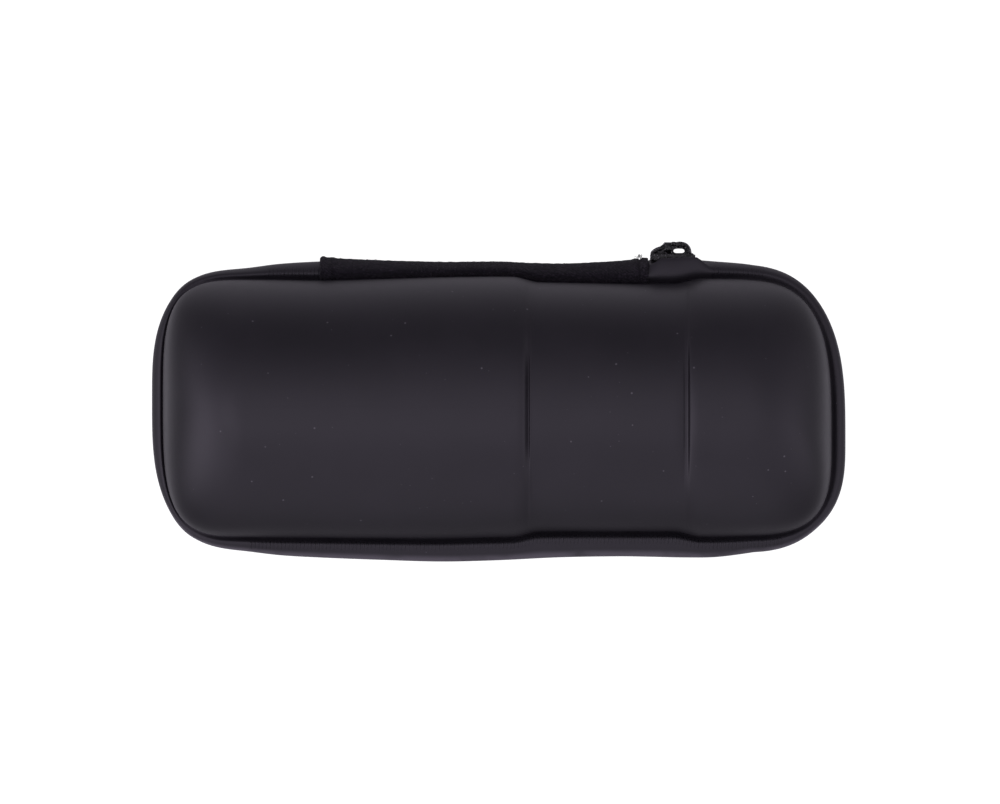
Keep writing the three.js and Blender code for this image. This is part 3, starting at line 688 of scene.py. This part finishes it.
strands = Tree("strands", {
    "Radius": "NodeSocketFloat", "Sides": "NodeSocketInt", "Material": "NodeSocketMaterial",
})
line = strands.node("GeometryNodeMeshToCurve", {}, {"Mesh": strands.given["Geometry"]})["Curve"]
ring = strands.node("GeometryNodeCurvePrimitiveCircle", {}, {
    "Resolution": strands.given["Sides"], "Radius": strands.given["Radius"],
})["Curve"]
thick = strands.node("GeometryNodeInputNamedAttribute", {"data_type": "FLOAT"}, {"Name": "thick"})
strand = strands.node("GeometryNodeCurveToMesh", {}, {
    "Curve": line, "Profile Curve": ring, "Scale": thick["Attribute"], "Fill Caps": True,
})["Mesh"]
strand = strands.node("GeometryNodeRealizeInstances", {}, {"Geometry": strand})["Geometry"]
strand = strands.node("GeometryNodeSetMaterial", {}, {
    "Geometry": strand, "Material": strands.given["Material"],
})["Geometry"]
strands.end(strand)


def strand_piece(name, lines, thickness, radius, material, sides=STRAND_SIDES):
    """Round strands along lines, which are rows of points in mm, with heights from the zip's plane.
    thickness has a share of the radius for each point."""
    points = np.concatenate(lines) + (0, 0, ZIP_Z)
    mesh = bpy.data.meshes.new(name)
    edges, first = [], 0
    for one in lines:
        edges += [(first + i, first + i + 1) for i in range(len(one) - 1)]
        first += len(one)
    mesh.from_pydata((points * MM).tolist(), edges, [])
    mesh.attributes.new("thick", "FLOAT", "POINT").data.foreach_set("value", np.concatenate(thickness))
    made = strands.grow(name, put(name, mesh), {"Radius": radius * MM, "Sides": sides, "Material": material})
    smooth(made.data)
    return tidy_mesh(made)


def tape_ribs(name, up):
    stations = Stations(spaced(tape_start + RIB_END, tape_end - RIB_END, RIB_PITCH))
    share = np.linspace(0, 1, RIB_POINTS)
    outwards = RIB_START - stations.inset[:, None] + RIB_REACH * share
    reach = (stations.tape + RIM_ROUND)[:, None]
    height = TAPE_Z * np.sqrt(np.clip(1 - ((outwards + RIM_ROUND) / reach) ** 2, 0, 1))
    pushed = lipped(stations, outwards, height)
    height = dipped(stations, outwards, height) - RIB_SUNK
    points = stations.place(pushed, up * height)
    rng = np.random.default_rng(RIB_SEED + int(up))
    starts = rng.uniform(*RIB_THICK, len(points))
    thickness = [start * (1 - RIB_THIN * share**1.5) for start in starts]
    thickness = [np.where((share == 0) | (share == 1), RIB_TIP * row, row) for row in thickness]
    x, y = stations.point.T
    shows = ((y <= 0) | (x <= LIP_FROM) | (x >= LIP_TO)) & (stations.tape >= RIB_TAPE)
    lines = [line for line, kept in zip(points, shows) if kept]
    thickness = [row for row, kept in zip(thickness, shows) if kept]
    return strand_piece(name, lines, thickness, RIB_RADIUS, coating.material)


for tape_name, up in (("front", 1), ("back", -1)):
    made, stations = tape(f"zip_tape_{tape_name}_coating", up)
    made.data.materials.append(coating.material)
    ribs = tape_ribs(f"zip_tape_{tape_name}_ribs", up)
    for piece in (made, ribs):
        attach(piece, "bag")
    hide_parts(f"zip_tape_{tape_name}")

# Zip's chain
# The coils of a closed plastic zip, sewn to the tapes' inner sides behind the slit. It is a spiral on each
# tape, and its turns mesh along the middle.
COIL_WIDTH = 5.6
COIL_THICK = 2
COIL_STRAND = 0.32
COIL_PITCH = 1.6
COIL_POINTS = 8  # to a turn
COIL_SIDES = 5
CHAIN_END = 0.05  # how much of a way the chain ends short of the tapes
COIL_LAP = 0.05  # how far each spiral reaches over the middle
CHAIN_DARK = (0.009, 0.009, 0.010, 1)
CHAIN_PALE = (0.017, 0.016, 0.018, 1)

chain_turns = Stations(spaced(tape_start + CHAIN_END, tape_end - CHAIN_END, COIL_PITCH / COIL_POINTS))
turn_angle = np.arange(len(chain_turns.way)) * 2 * math.pi / COIL_POINTS
chain_height = COIL_WIDTH / 2
chain_out = (chain_turns.tape + RIM_ROUND - TAPE) * math.sqrt(1 - (chain_height / (TAPE_Z - TAPE)) ** 2)
chain_out = chain_out - RIM_ROUND - CLEAR - COIL_THICK / 2
chain_lines = []
for side in (-1, 1):
    outwards = chain_out + (COIL_THICK / 2 - COIL_STRAND) * np.cos(turn_angle)
    height = side * (chain_height / 2 - COIL_LAP + (chain_height / 2 - COIL_STRAND) * np.sin(turn_angle))
    chain_lines.append(chain_turns.place(outwards[:, None], height[:, None])[:, 0])
chain = Finish("zip_chain")
chain_at = chain.place()
chain_cloud = chain.noise(chain_at, 3)
chain.set(
    Base_Color=chain.blend(chain_cloud, CHAIN_DARK, CHAIN_PALE),
    Roughness=0.38 + 0.14 * chain_cloud,
    Normal=chain.bump(chain.noise(chain_at, 0.3), 0.01),
)
even = [np.ones(len(line)) for line in chain_lines]
made = strand_piece("zip_coil_turns", chain_lines, even, COIL_STRAND, chain.material, COIL_SIDES)
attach(made, "bag")
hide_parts("zip_coil")

# Hinge gusset
# A strip of woven webbing that hinges the shells on one long side, sewn inside both rims. Its ends are
# folded under and lie over the ends of the tapes.
WEBBING = 0.8
WEB_PITCH = 0.42
WEB_END_ROWS = (0, 0.06, 0.2, 0.45)  # shares of a pitch, for the rounding of each end
WEB_POINTS = 64
ARC_HALF = 90  # degrees of the band's section that the strip covers each way, and its folded ends
FOLD_ARC_HALF = 86
FOLD_STANDS = (1.05, 0.35)  # how far the folded ends stand out over the tapes, at the base and the neck
FOLD_LIFT = 0.3  # of the folded ends over the tapes next to the rims
HEM = 1.9  # width of the ridge at the neck end, where the fold's edge is stitched down
HEM_RISE = 0.25
GROOVE_AT, GROOVE_WIDTH, GROOVE_DEPTH = 0.45, 0.3, 0.5  # the seam beside it
CORNER_AT, CORNER_WIDTH, CORNER_RISE = 0.9, 0.7, 0.4  # the bump at the base end
DART_AT, DART_SLANT, DART_WIDTH, DART_DEPTH = 2.3, 1.2, 0.35, 0.7  # and the two folds beside that
WEAVE = 0.62  # distance between the twill's lines, mm
WEAVE_CROSS = 1.6  # and of the fainter lines across it, in these
WEB_ROUGH = 0.11  # how far the cloth is uneven, and the size of that, coarse and fine
WEB_ROUGH_SIZES = (1.3, 0.5)
BEND_SIZE, BREAK_SIZE = 2.2, 0.45  # of the weave's unevenness
WEAVE_DEPTH, BEND_DEPTH = 0.26, 0.3
WEAVE_DARK = (0.0028, 0.0018, 0.0044, 1)
WEAVE_PALE = (0.0120, 0.0084, 0.0165, 1)
FLUFF_COLOUR = (0.082, 0.067, 0.092, 1)


def web_relief(x, angle):
    """How far the cloth stands out from its even shape, at a place along it and an angle round the band."""
    hem = smooth_step(x, GUSSET_NECK_X - HEM - 0.3, GUSSET_NECK_X - HEM + 0.2)
    groove = np.exp(-(((x - GUSSET_NECK_X + HEM + GROOVE_AT) / GROOVE_WIDTH) ** 2))
    corner = np.exp(-(((x - GUSSET_BASE_X - CORNER_AT) / CORNER_WIDTH) ** 2)) * np.exp(-((angle / 0.7) ** 2))
    dart = np.exp(-(((x - GUSSET_BASE_X - DART_AT - DART_SLANT * np.abs(angle)) / DART_WIDTH) ** 2))
    dart = dart * smooth_step(np.abs(angle), 0.7, 1.2)
    return HEM_RISE * hem - GROOVE_DEPTH * groove + CORNER_RISE * corner - DART_DEPTH * dart


def gusset_cloth(name):
    start, end = way_of(GUSSET_BASE_X), way_of(GUSSET_NECK_X)
    ways = spaced(start, end, WEB_PITCH)
    rounding = (ways[1] - ways[0]) * np.array(WEB_END_ROWS)
    ways = np.concatenate([start + rounding, ways[1:-1], (end - rounding)[::-1]])
    stations = Stations(ways)
    x = stations.point[:, 0]
    depth = np.minimum(x - x[0], x[-1] - x)
    fold = 1 - smooth_step(depth, FOLD - 0.4, FOLD + 1.6)
    blunt = np.sqrt(1 - (1 - np.clip(depth / (WEBBING / 2), 0, 1)) ** 2)
    over_tape = stations.tape + np.where(x > 0, FOLD_STANDS[1], FOLD_STANDS[0])
    lie = stations.gusset + (over_tape - stations.gusset) * fold
    arc_half = np.radians(ARC_HALF + (FOLD_ARC_HALF - ARC_HALF) * fold)
    share = np.linspace(-1, 1, WEB_POINTS)
    angles = arc_half[:, None] * share

    def side(half_thick, shares):
        turned = arc_half[:, None] * shares
        lift = FOLD_LIFT + (CLEAR + WEBBING / 2 - FOLD_LIFT) * np.cos(turned) ** 0.5
        middle = lie - WEBBING / 2
        reach = middle + half_thick
        outwards = (reach[:, None] + RIM_ROUND) * np.cos(turned) - RIM_ROUND
        tall = TAPE_Z - WEBBING / 2 + fold[:, None] * lift + half_thick[:, None]
        height = tall * np.sin(turned)
        sunk = np.sign(height) * np.minimum(np.abs(height), dipped(stations, outwards, np.abs(height)))
        relief = web_relief(x[:, None], turned)
        outwards = outwards + relief * np.cos(turned)
        return outwards, sunk + relief * np.sin(turned)
    outer = side(WEBBING / 2 * blunt, share)
    inner = side(-WEBBING / 2 * blunt, share[::-1])
    margin_out, margin_up = seam_margin(WEBBING)
    keep = (1 - fold)[:, None]

    def margin(sign, corner):
        out, up = outer[0][:, corner, None], outer[1][:, corner, None]
        margin_high = sign * np.array(margin_up)[::sign]
        return out + (np.array(margin_out)[::sign] - out) * keep, up + (margin_high - up) * keep
    top, bottom = margin(1, -1), margin(-1, 0)
    outwards = np.concatenate([outer[0], top[0], inner[0], bottom[0]], axis=1)
    height = np.concatenate([outer[1], top[1], inner[1], bottom[1]], axis=1)
    points = stations.place(outwards, height)
    coarse, fine = WEB_ROUGH_SIZES
    rough = np.array([
        noise.noise(Vector(point) / coarse) + 0.5 * noise.noise(Vector(point) / fine)
        for point in points.reshape(-1, 3)
    ]).reshape(points.shape[:2])
    rough *= WEB_ROUGH * np.cos(np.clip(np.abs(np.arctan2(height, outwards + RIM_ROUND)), 0, 1.4))
    points[..., :2] += stations.out[:, None, :] * rough[..., None]
    rows, columns = points.shape[:2]
    made = add_mesh(name, points, grid_faces(rows, columns, closed_columns=True))
    at_margin = np.tile(arc_half[:, None], (1, len(margin_out)))
    round_band = np.concatenate([angles, at_margin, arc_half[:, None] * share[::-1], -at_margin], axis=1)
    for label, values in (
        ("along", np.repeat(stations.length[:, None], columns, axis=1)),
        ("around", round_band * (TAPE_Z + 1)),
    ):
        made.data.attributes.new(label, "FLOAT", "POINT").data.foreach_set("value", values.ravel())
    return tidy_mesh(made), stations


woven = Finish("woven_webbing")
woven_at = woven.place()
weave_bend = woven.noise(woven_at, BEND_SIZE, 3)
weave_break = woven.noise(woven_at, BREAK_SIZE)
woven_along = woven.attribute("along") + 0.8 * weave_bend
woven_around = woven.attribute("around") + 0.8 * weave_bend
twill = ((woven_along + woven_around) * (2 * math.pi / WEAVE)).sine()
thread = ((woven_along - woven_around) * (2 * math.pi / WEAVE / WEAVE_CROSS)).sine()
weave = 0.5 + 0.28 * twill + 0.16 * thread + 0.5 * (weave_break - 0.5)
fluff = woven.noise(woven_at, BREAK_SIZE, 4, 0.7).rises(0.5, 0.68)
at_hem = woven.axis(woven_at, 0).rises(GUSSET_NECK_X - HEM - 0.5, GUSSET_NECK_X - HEM)
worn_cloth = woven.blend(weave.rises(0.3, 1.0), WEAVE_DARK, WEAVE_PALE)
woven.set(
    Base_Color=woven.blend(fluff * (0.5 + 0.25 * at_hem), worn_cloth, FLUFF_COLOUR),
    Roughness=0.82 - 0.1 * weave_break,
    Sheen_Weight=0.06,
    Sheen_Roughness=0.5,
    Specular_IOR_Level=0.2,
    Normal=woven.bump(weave, WEAVE_DEPTH, woven.bump(weave_bend, BEND_DEPTH)),
)

FRAY_COUNT = 46
FRAY_SEED = 11
FRAY_POINTS = 6
FRAY_SIDES = 4
FRAY_RADIUS = 0.07
FRAY_ROOT = 0.15  # how deep in the cloth a thread starts
FRAY_RISE = (0.2, 0.4)  # how far it stands out
HEM_FRAY_RISE = (0.35, 0.75)

made, stations = gusset_cloth("hinge_gusset_cloth")
made.data.materials.append(woven.material)
rng = np.random.default_rng(FRAY_SEED)
fray_lines, fray_thick = [], []
fray_share = np.linspace(0, 1, FRAY_POINTS)
for i in range(FRAY_COUNT):
    from_hem = i < FRAY_COUNT // 2
    if from_hem:
        x = GUSSET_NECK_X - HEM - 0.6 + rng.normal(0, 0.35)
    else:
        x = rng.uniform(GUSSET_BASE_X + 0.4, GUSSET_NECK_X)
    station = Stations([way_of(x)])
    angle = rng.uniform(-0.9, 0.9)
    reach = max(station.gusset[0], 0) + RIM_ROUND - FRAY_ROOT
    if min(x - GUSSET_BASE_X, GUSSET_NECK_X - x) < FOLD:
        reach = station.tape[0] + CLEAR + WEBBING + RIM_ROUND - 0.1
    lean = rng.normal(0, 0.5, 2)
    rise = rng.uniform(*(HEM_FRAY_RISE if from_hem else FRAY_RISE))
    lift = reach + rise * np.sin(fray_share * math.pi * 0.9)
    turned = angle + lean[0] * 0.12 * fray_share
    high = (TAPE_Z + lift - reach) * np.sin(turned)
    point = station.place([lift * np.cos(turned) - RIM_ROUND], [high])[0]
    point[:, 0] += lean[1] * fray_share
    fray_lines.append(point)
    fray_thick.append(1 - 0.5 * fray_share)
frays = strand_piece("hinge_gusset_frays", fray_lines, fray_thick, FRAY_RADIUS, woven.material, FRAY_SIDES)
for label in ("along", "around"):
    frays.data.attributes.new(label, "FLOAT", "POINT")
for piece in (made, frays):
    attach(piece, "bag")
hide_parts("hinge_gusset")

# Slider
# Cast zinc, painted black: two plates round the zip, joined by a post, with the bail over them that carries
# the pull. The paint is glossy, with small pale metallic spots painted on as glints.
EDGE_ROUND = 0.28
FLAT_ANGLE = 2  # degrees between faces that are made one
SHARP_ANGLE = 32  # and between those whose edge is rounded
ROUND_SEGMENTS = 3
PAINT_COLOUR = (0.003, 0.0028, 0.0035, 1)
PAINTED_GLINT_COLOUR = (0.42, 0.40, 0.43, 1)
# sizes of the dents and of the painted glint spots
DENT_SIZE, GLINT_SIZE = 0.9, 0.5
DENT_DEPTH = 0.6


def cast_copy(name, node, width):
    """A node's mesh as one closed body with flat faces, and its edges rounded."""
    work = bmesh.new()
    work.from_mesh(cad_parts[node].data)
    bmesh.ops.remove_doubles(work, verts=work.verts, dist=APART)
    bmesh.ops.dissolve_limit(work, angle_limit=math.radians(FLAT_ANGLE), verts=work.verts, edges=work.edges)
    bmesh.ops.recalc_face_normals(work, faces=work.faces)
    mesh = bpy.data.meshes.new(name)
    work.to_mesh(mesh)
    work.free()
    smooth(mesh)
    made = put(name, mesh)
    bevel = made.modifiers.new("rounded", "BEVEL")
    bevel.width = width * MM
    bevel.segments = ROUND_SEGMENTS
    bevel.limit_method = "ANGLE"
    bevel.angle_limit = math.radians(SHARP_ANGLE)
    return made


metal = Finish("black_metal")
metal_at = metal.place()
metal_cloud = metal.noise(metal_at, DENT_SIZE, 3)
# Painted glints: small pale metallic spots that stand in for highlights
painted_glints = metal.noise(metal_at, GLINT_SIZE).rises(0.6, 0.7)
metal.set(
    Specular_IOR_Level=0.48,
    Base_Color=metal.blend(painted_glints * 0.35, PAINT_COLOUR, PAINTED_GLINT_COLOUR),
    Metallic=0.6 * painted_glints,
    Roughness=0.1 + 0.14 * metal_cloud,
    Normal=metal.bump(metal_cloud, DENT_DEPTH),
)
BAIL_LINE = [  # along from the slider's nose and out from the tapes' crest, and the bar's radius there, mm
    (0.5, 0.9, 0.75), (0.85, 1.75, 0.76), (1.6, 2.4, 0.74), (2.7, 2.95, 0.68), (3.7, 3.2, 0.6),
    (4.95, 3.2, 0.58), (6.0, 3.3, 0.58), (6.7, 3.75, 0.66), (7.4, 4.08, 0.78), (8.3, 4.14, 0.82),
    (9.3, 3.97, 0.88), (10.1, 3.4, 0.94), (10.55, 2.5, 0.96), (10.7, 1.6, 0.94), (10.75, 0.9, 0.94),
]
BAIL_FLAT = 1.35  # how much wider across the zip than it is tall
BEAD_LINE = [  # the low bead at the bail's foot, in the same way
    (0.2, 0.9, 0.45), (1.3, 1.5, 0.85), (2.6, 1.95, 1.15), (3.6, 1.8, 1.05), (4.6, 1.4, 0.6),
    (6, 1.3, 0.5), (9, 1.3, 0.5), (11.6, 1.3, 0.52), (12.3, 1.2, 0.5),
]
BEAD_FLAT = 1.6
BAR_SIDES = 14  # round a bar, and along it
BAR_POINTS = 48
BAR_END = 3  # points over which each end is rounded
BAR_SQUARE = 0.8  # exponent of its section
CREST_DEPTH = 4.5  # from the bail's top to the tapes' crest: bail 3.2, plate 1 and a gap of 0.3 mm
PLATE_TOP = 1.3  # above the crest
slider_low, slider_high = (np.array(corner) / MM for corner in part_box("zip_slider"))
nose_x = slider_low[0]
crest_y = slider_high[1] - CREST_DEPTH
plate_top = crest_y + PLATE_TOP


def cast_bar(name, line, flat):
    """A rounded bar along a line on the slider."""
    line = np.array(line)
    steps = np.concatenate([[0], np.cumsum(np.hypot(*np.diff(line[:, :2], axis=0).T))])
    fine = np.linspace(0, steps[-1], BAR_POINTS)
    path = cubic(steps, line.T, np.gradient(line, steps, axis=0).T, fine).T
    along = np.gradient(path[:, :2], axis=0)
    along /= np.hypot(along[:, :1], along[:, 1:])
    out = np.stack([-along[:, 1], along[:, 0]], axis=1)
    ends = np.minimum(np.arange(BAR_POINTS), np.arange(BAR_POINTS)[::-1]) / BAR_END
    radius = path[:, 2] * np.sqrt(1 - (1 - np.clip(ends, 0.02, 1)) ** 2)
    angle = np.linspace(0, 2 * math.pi, BAR_SIDES, endpoint=False)
    across = np.sign(np.cos(angle)) * np.abs(np.cos(angle)) ** BAR_SQUARE
    wide = np.sign(np.sin(angle)) * np.abs(np.sin(angle)) ** BAR_SQUARE
    flat_at = path[:, None, :2] + out[:, None, :] * (radius[:, None] * across)[..., None]
    height = flat * radius[:, None] * wide
    points = np.concatenate([flat_at + (nose_x, crest_y), height[..., None]], axis=-1)
    return tidy_mesh(add_mesh(name, points, capped_faces(BAR_POINTS, BAR_SIDES)))


CHEEK = [  # the cheek's outer edge, along from the nose and out from the crest, mm
    (-0.1, 0.95), (0.5, 2.1), (1.3, 2.8), (2.4, 3.2), (2.9, 3.75), (3.8, 4.3), (5.2, 4.65), (7.3, 4.78),
    (9.4, 4.72), (10.5, 4.1), (11.15, 3.2), (11.4, 2.2), (11.6, 1.55), (12.5, 1.35), (12.6, 0.6), (6, 0.5),
    (0.3, 0.6),
]
CHEEK_HOLE = (8.05, 2.34)  # the middle of its hole, and the hole's half sizes and how square it is
CHEEK_HOLE_HALF = (1.55, 0.62)
CHEEK_HOLE_SQUARE = 2.6
CHEEK_Z = (1.2, 2.4)  # from the zip's plane
CHEEK_GAP = (3.944, 5.956)  # where the pull's eye turns between its two parts
CHEEK_POINTS = 120
CHEEK_RELIEF = 0.55
CHEEK_BAR = 1.6  # width of the round bar along its edge, and the most it takes of what is there
CHEEK_BAR_SHARE = 0.92
CHEEK_PROFILE = [  # shares of the bar's width and of the way from there to the hole, and of the height
    (0, 0, 0), (0, 0, 0.25), (0.08, 0, 0.6), (0.25, 0, 0.9), (0.5, 0, 1), (0.75, 0, 0.88), (0.92, 0, 0.6),
    (1, 0, 0.4), (1, 0.3, 0.45), (1, 0.7, 0.5), (1, 1, 0.4), (1, 1, 0),
]


def cut_off(work, at, way):
    """Takes off what lies past a plane, and closes the cut."""
    everything = [*work.verts, *work.edges, *work.faces]
    bmesh.ops.bisect_plane(work, geom=everything, plane_co=at, plane_no=way, clear_outer=True, dist=APART)
    bmesh.ops.holes_fill(work, edges=[edge for edge in work.edges if edge.is_boundary])
    bmesh.ops.recalc_face_normals(work, faces=work.faces)


def cast_cheek(name):
    """The bail's cheek, a plate with a round bar along its edge, in two parts beside the pull's eye."""
    outer = np.array(CHEEK) - CHEEK_HOLE
    turns = np.unwrap(np.arctan2(outer[:, 1], outer[:, 0]))
    angle = np.linspace(turns[0], turns[0] - 2 * math.pi, CHEEK_POINTS, endpoint=False)
    closed_turns = np.append(turns, turns[0] - 2 * math.pi)
    closed_far = np.append(np.hypot(*outer.T), np.hypot(*outer[0]))
    far = np.interp(-angle, -closed_turns, closed_far)
    across = np.stack([np.cos(angle), np.sin(angle)], axis=1)
    square = CHEEK_HOLE_SQUARE
    near = 1 / (np.abs(across / CHEEK_HOLE_HALF) ** square).sum(axis=1) ** (1 / square)
    low, high = CHEEK_Z
    wide = far - near
    bar = np.minimum(CHEEK_BAR, CHEEK_BAR_SHARE * wide)
    rows = []
    for from_bar, from_hole, height in CHEEK_PROFILE:
        inwards = bar * from_bar + (wide - bar) * from_hole
        flat_at = across * (far - inwards)[:, None] + CHEEK_HOLE
        relief = np.array([
            noise.noise(Vector((*point, 3)) / 0.9) + 0.6 * noise.noise(Vector((*point, 5)) / 0.4)
            for point in flat_at
        ])
        lifted = low + (high - low) * height + CHEEK_RELIEF * relief * min(height, 1 - from_hole, 0.6)
        rows.append(np.column_stack([flat_at + (nose_x, crest_y), lifted]))
    faces = grid_faces(len(rows), CHEEK_POINTS, closed_rows=True, closed_columns=True)
    made = tidy_mesh(add_mesh(name, np.stack(rows), faces))
    work = bmesh.new()
    for at, way in zip(CHEEK_GAP, (1, -1)):
        part = bmesh.new()
        part.from_mesh(made.data)
        cut_off(part, ((nose_x + at) * MM, 0, 0), (way, 0, 0))
        half = bpy.data.meshes.new(name)
        part.to_mesh(half)
        part.free()
        work.from_mesh(half)
        bpy.data.meshes.remove(half)
    work.to_mesh(made.data)
    work.free()
    smooth(made.data)
    return made


plates = cast_copy("zip_slider_plates", "zip_slider", EDGE_ROUND)
work = bmesh.new()
work.from_mesh(plates.data)
cut_off(work, (0, plate_top * MM, 0), (0, 1, 0))
work.to_mesh(plates.data)
work.free()
slider_pieces = [
    plates,
    cast_bar("zip_slider_bail", BAIL_LINE, BAIL_FLAT),
    cast_bar("zip_slider_bead", BEAD_LINE, BEAD_FLAT),
    cast_cheek("zip_slider_cheek"),
]
for piece in slider_pieces:
    piece.data.materials.append(metal.material)
    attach(piece, "bag")
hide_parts("zip_slider")

# Pull
# A slim cast tab that hangs from the bail by its eye, in the same black paint.
PULL_ROUND = 0.1
made = cast_copy("zip_pull_cast", "zip_pull", PULL_ROUND)
made.data.materials.append(metal.material)
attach(made, "pull")
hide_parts("zip_pull")

# Floor, backdrop and lights
# The photograph is taken on a sweep that is bare white all round, in a studio that reflects as soft greys.
# The sweep is a wide bowl that only the camera sees, and the world behind it is what the bag reflects.
bpy.context.scene.view_settings.view_transform = "Standard"
SWEEP_FLAT = 3400  # radius of its flat, mm
SWEEP_ROUND = 1500
SWEEP_TOP = 3500
SWEEP_SIDES = 64
SWEEP_RINGS = 12
SWEEP_GLOW = 0.99
SWEEP_DROP = 0.05  # under the bag, so that the two surfaces don't lie in each other

sweep_turn = np.linspace(0, math.pi / 2, SWEEP_RINGS)
sweep_radius = SWEEP_FLAT + SWEEP_ROUND * np.sin(sweep_turn)
sweep_radius = np.concatenate([[SWEEP_FLAT / 2], sweep_radius, [SWEEP_FLAT + SWEEP_ROUND]])
sweep_height = np.concatenate([[0], SWEEP_ROUND * (1 - np.cos(sweep_turn)), [SWEEP_TOP]]) - SWEEP_DROP
sweep_angle = np.linspace(0, 2 * math.pi, SWEEP_SIDES, endpoint=False)
sweep_points = np.stack([
    np.outer(sweep_radius, np.cos(sweep_angle)),
    np.outer(sweep_radius, np.sin(sweep_angle)),
    np.repeat(sweep_height[:, None], SWEEP_SIDES, axis=1),
], axis=-1)
sweep_faces = [*grid_faces(len(sweep_radius), SWEEP_SIDES, closed_columns=True), list(range(SWEEP_SIDES))]
sweep = add_mesh("white_sweep", sweep_points, sweep_faces, lift=False)
white = Finish("white_sweep")
white.set(
    Base_Color=(0.3, 0.3, 0.3, 1), Roughness=1, Specular_IOR_Level=0,
    Emission_Color=(1, 1, 1, 1), Emission_Strength=SWEEP_GLOW,
)
sweep.data.materials.append(white.material)
sweep.visible_glossy = False
sweep.visible_diffuse = False
sweep.visible_transmission = False


class Surroundings(Finish):
    """The world, written like a finish."""

    def __init__(self, name):
        self.world = bpy.data.worlds.new(name)
        self.world.use_nodes = True
        self.tree = self.world.node_tree
        self.tree.nodes.clear()
        self.shader = self.tree.nodes.new("ShaderNodeBackground")
        output = self.tree.nodes.new("ShaderNodeOutputWorld")
        self.tree.links.new(self.shader.outputs[0], output.inputs[0])
        self.towards = self.node("ShaderNodeTexCoord", {}, {}, "Generated")

    def lobe(self, direction, width, strength):
        """A soft patch of light round a direction."""
        sockets = {0: self.towards, 1: Vector(direction).normalized()}
        facing = self.node("ShaderNodeVectorMath", {"operation": "DOT_PRODUCT"}, sockets, "Value")
        return strength * facing.maths("EXPONENT", (facing - 1) / width)


STUDIO_COLOUR = (1.0, 0.952, 1.07, 1)
STUDIO_GREY = 0.05
STUDIO_LOBES = [  # direction, width and strength
    ((0, 0, 1), 0.25, 0.52),
    ((-0.9, -0.25, 0.6), 0.2, 0.88),
    ((-1, -0.3, 0.25), 0.14, 0.8),
    ((0.9, -0.15, 0.5), 0.2, 0.66),
    ((1, -0.2, 0), 0.15, 0.28),
    ((0, -1, 0.4), 0.2, 0.42),
    ((0, 1, -0.6), 0.25, 0.47),
    ((0, -1, -0.1), 0.15, 0.18),
    ((0, -0.1, -1), 0.075, 0.95),
    ((-0.55, 0, -0.83), 0.035, 0.28),
    ((0.55, 0, -0.83), 0.035, 0.28),
]
studio = Surroundings("studio")
glow = STUDIO_GREY
for direction, width, strength in STUDIO_LOBES:
    glow = studio.lobe(direction, width, strength) + glow
studio.set(Color=STUDIO_COLOUR, Strength=glow)
bpy.context.scene.world = studio.world

LAMP_SIZE = (0.8, 0.6)  # m
LAMP_WATTS = 1.2
LAMP_AT = (-0.5, -0.2, 1.6)
LAMP_AIM = (0, 0, 0.04)
lamp_data = bpy.data.lights.new("overhead", "AREA")
lamp_data.shape = "RECTANGLE"
lamp_data.size, lamp_data.size_y = LAMP_SIZE
lamp_data.energy = LAMP_WATTS
lamp_data.color = STUDIO_COLOUR[:3]
lamp = put("overhead", lamp_data)
lamp.location = LAMP_AT
lamp.rotation_euler = (Vector(LAMP_AIM) - lamp.location).to_track_quat("-Z", "Y").to_euler()
lamp.visible_camera = False
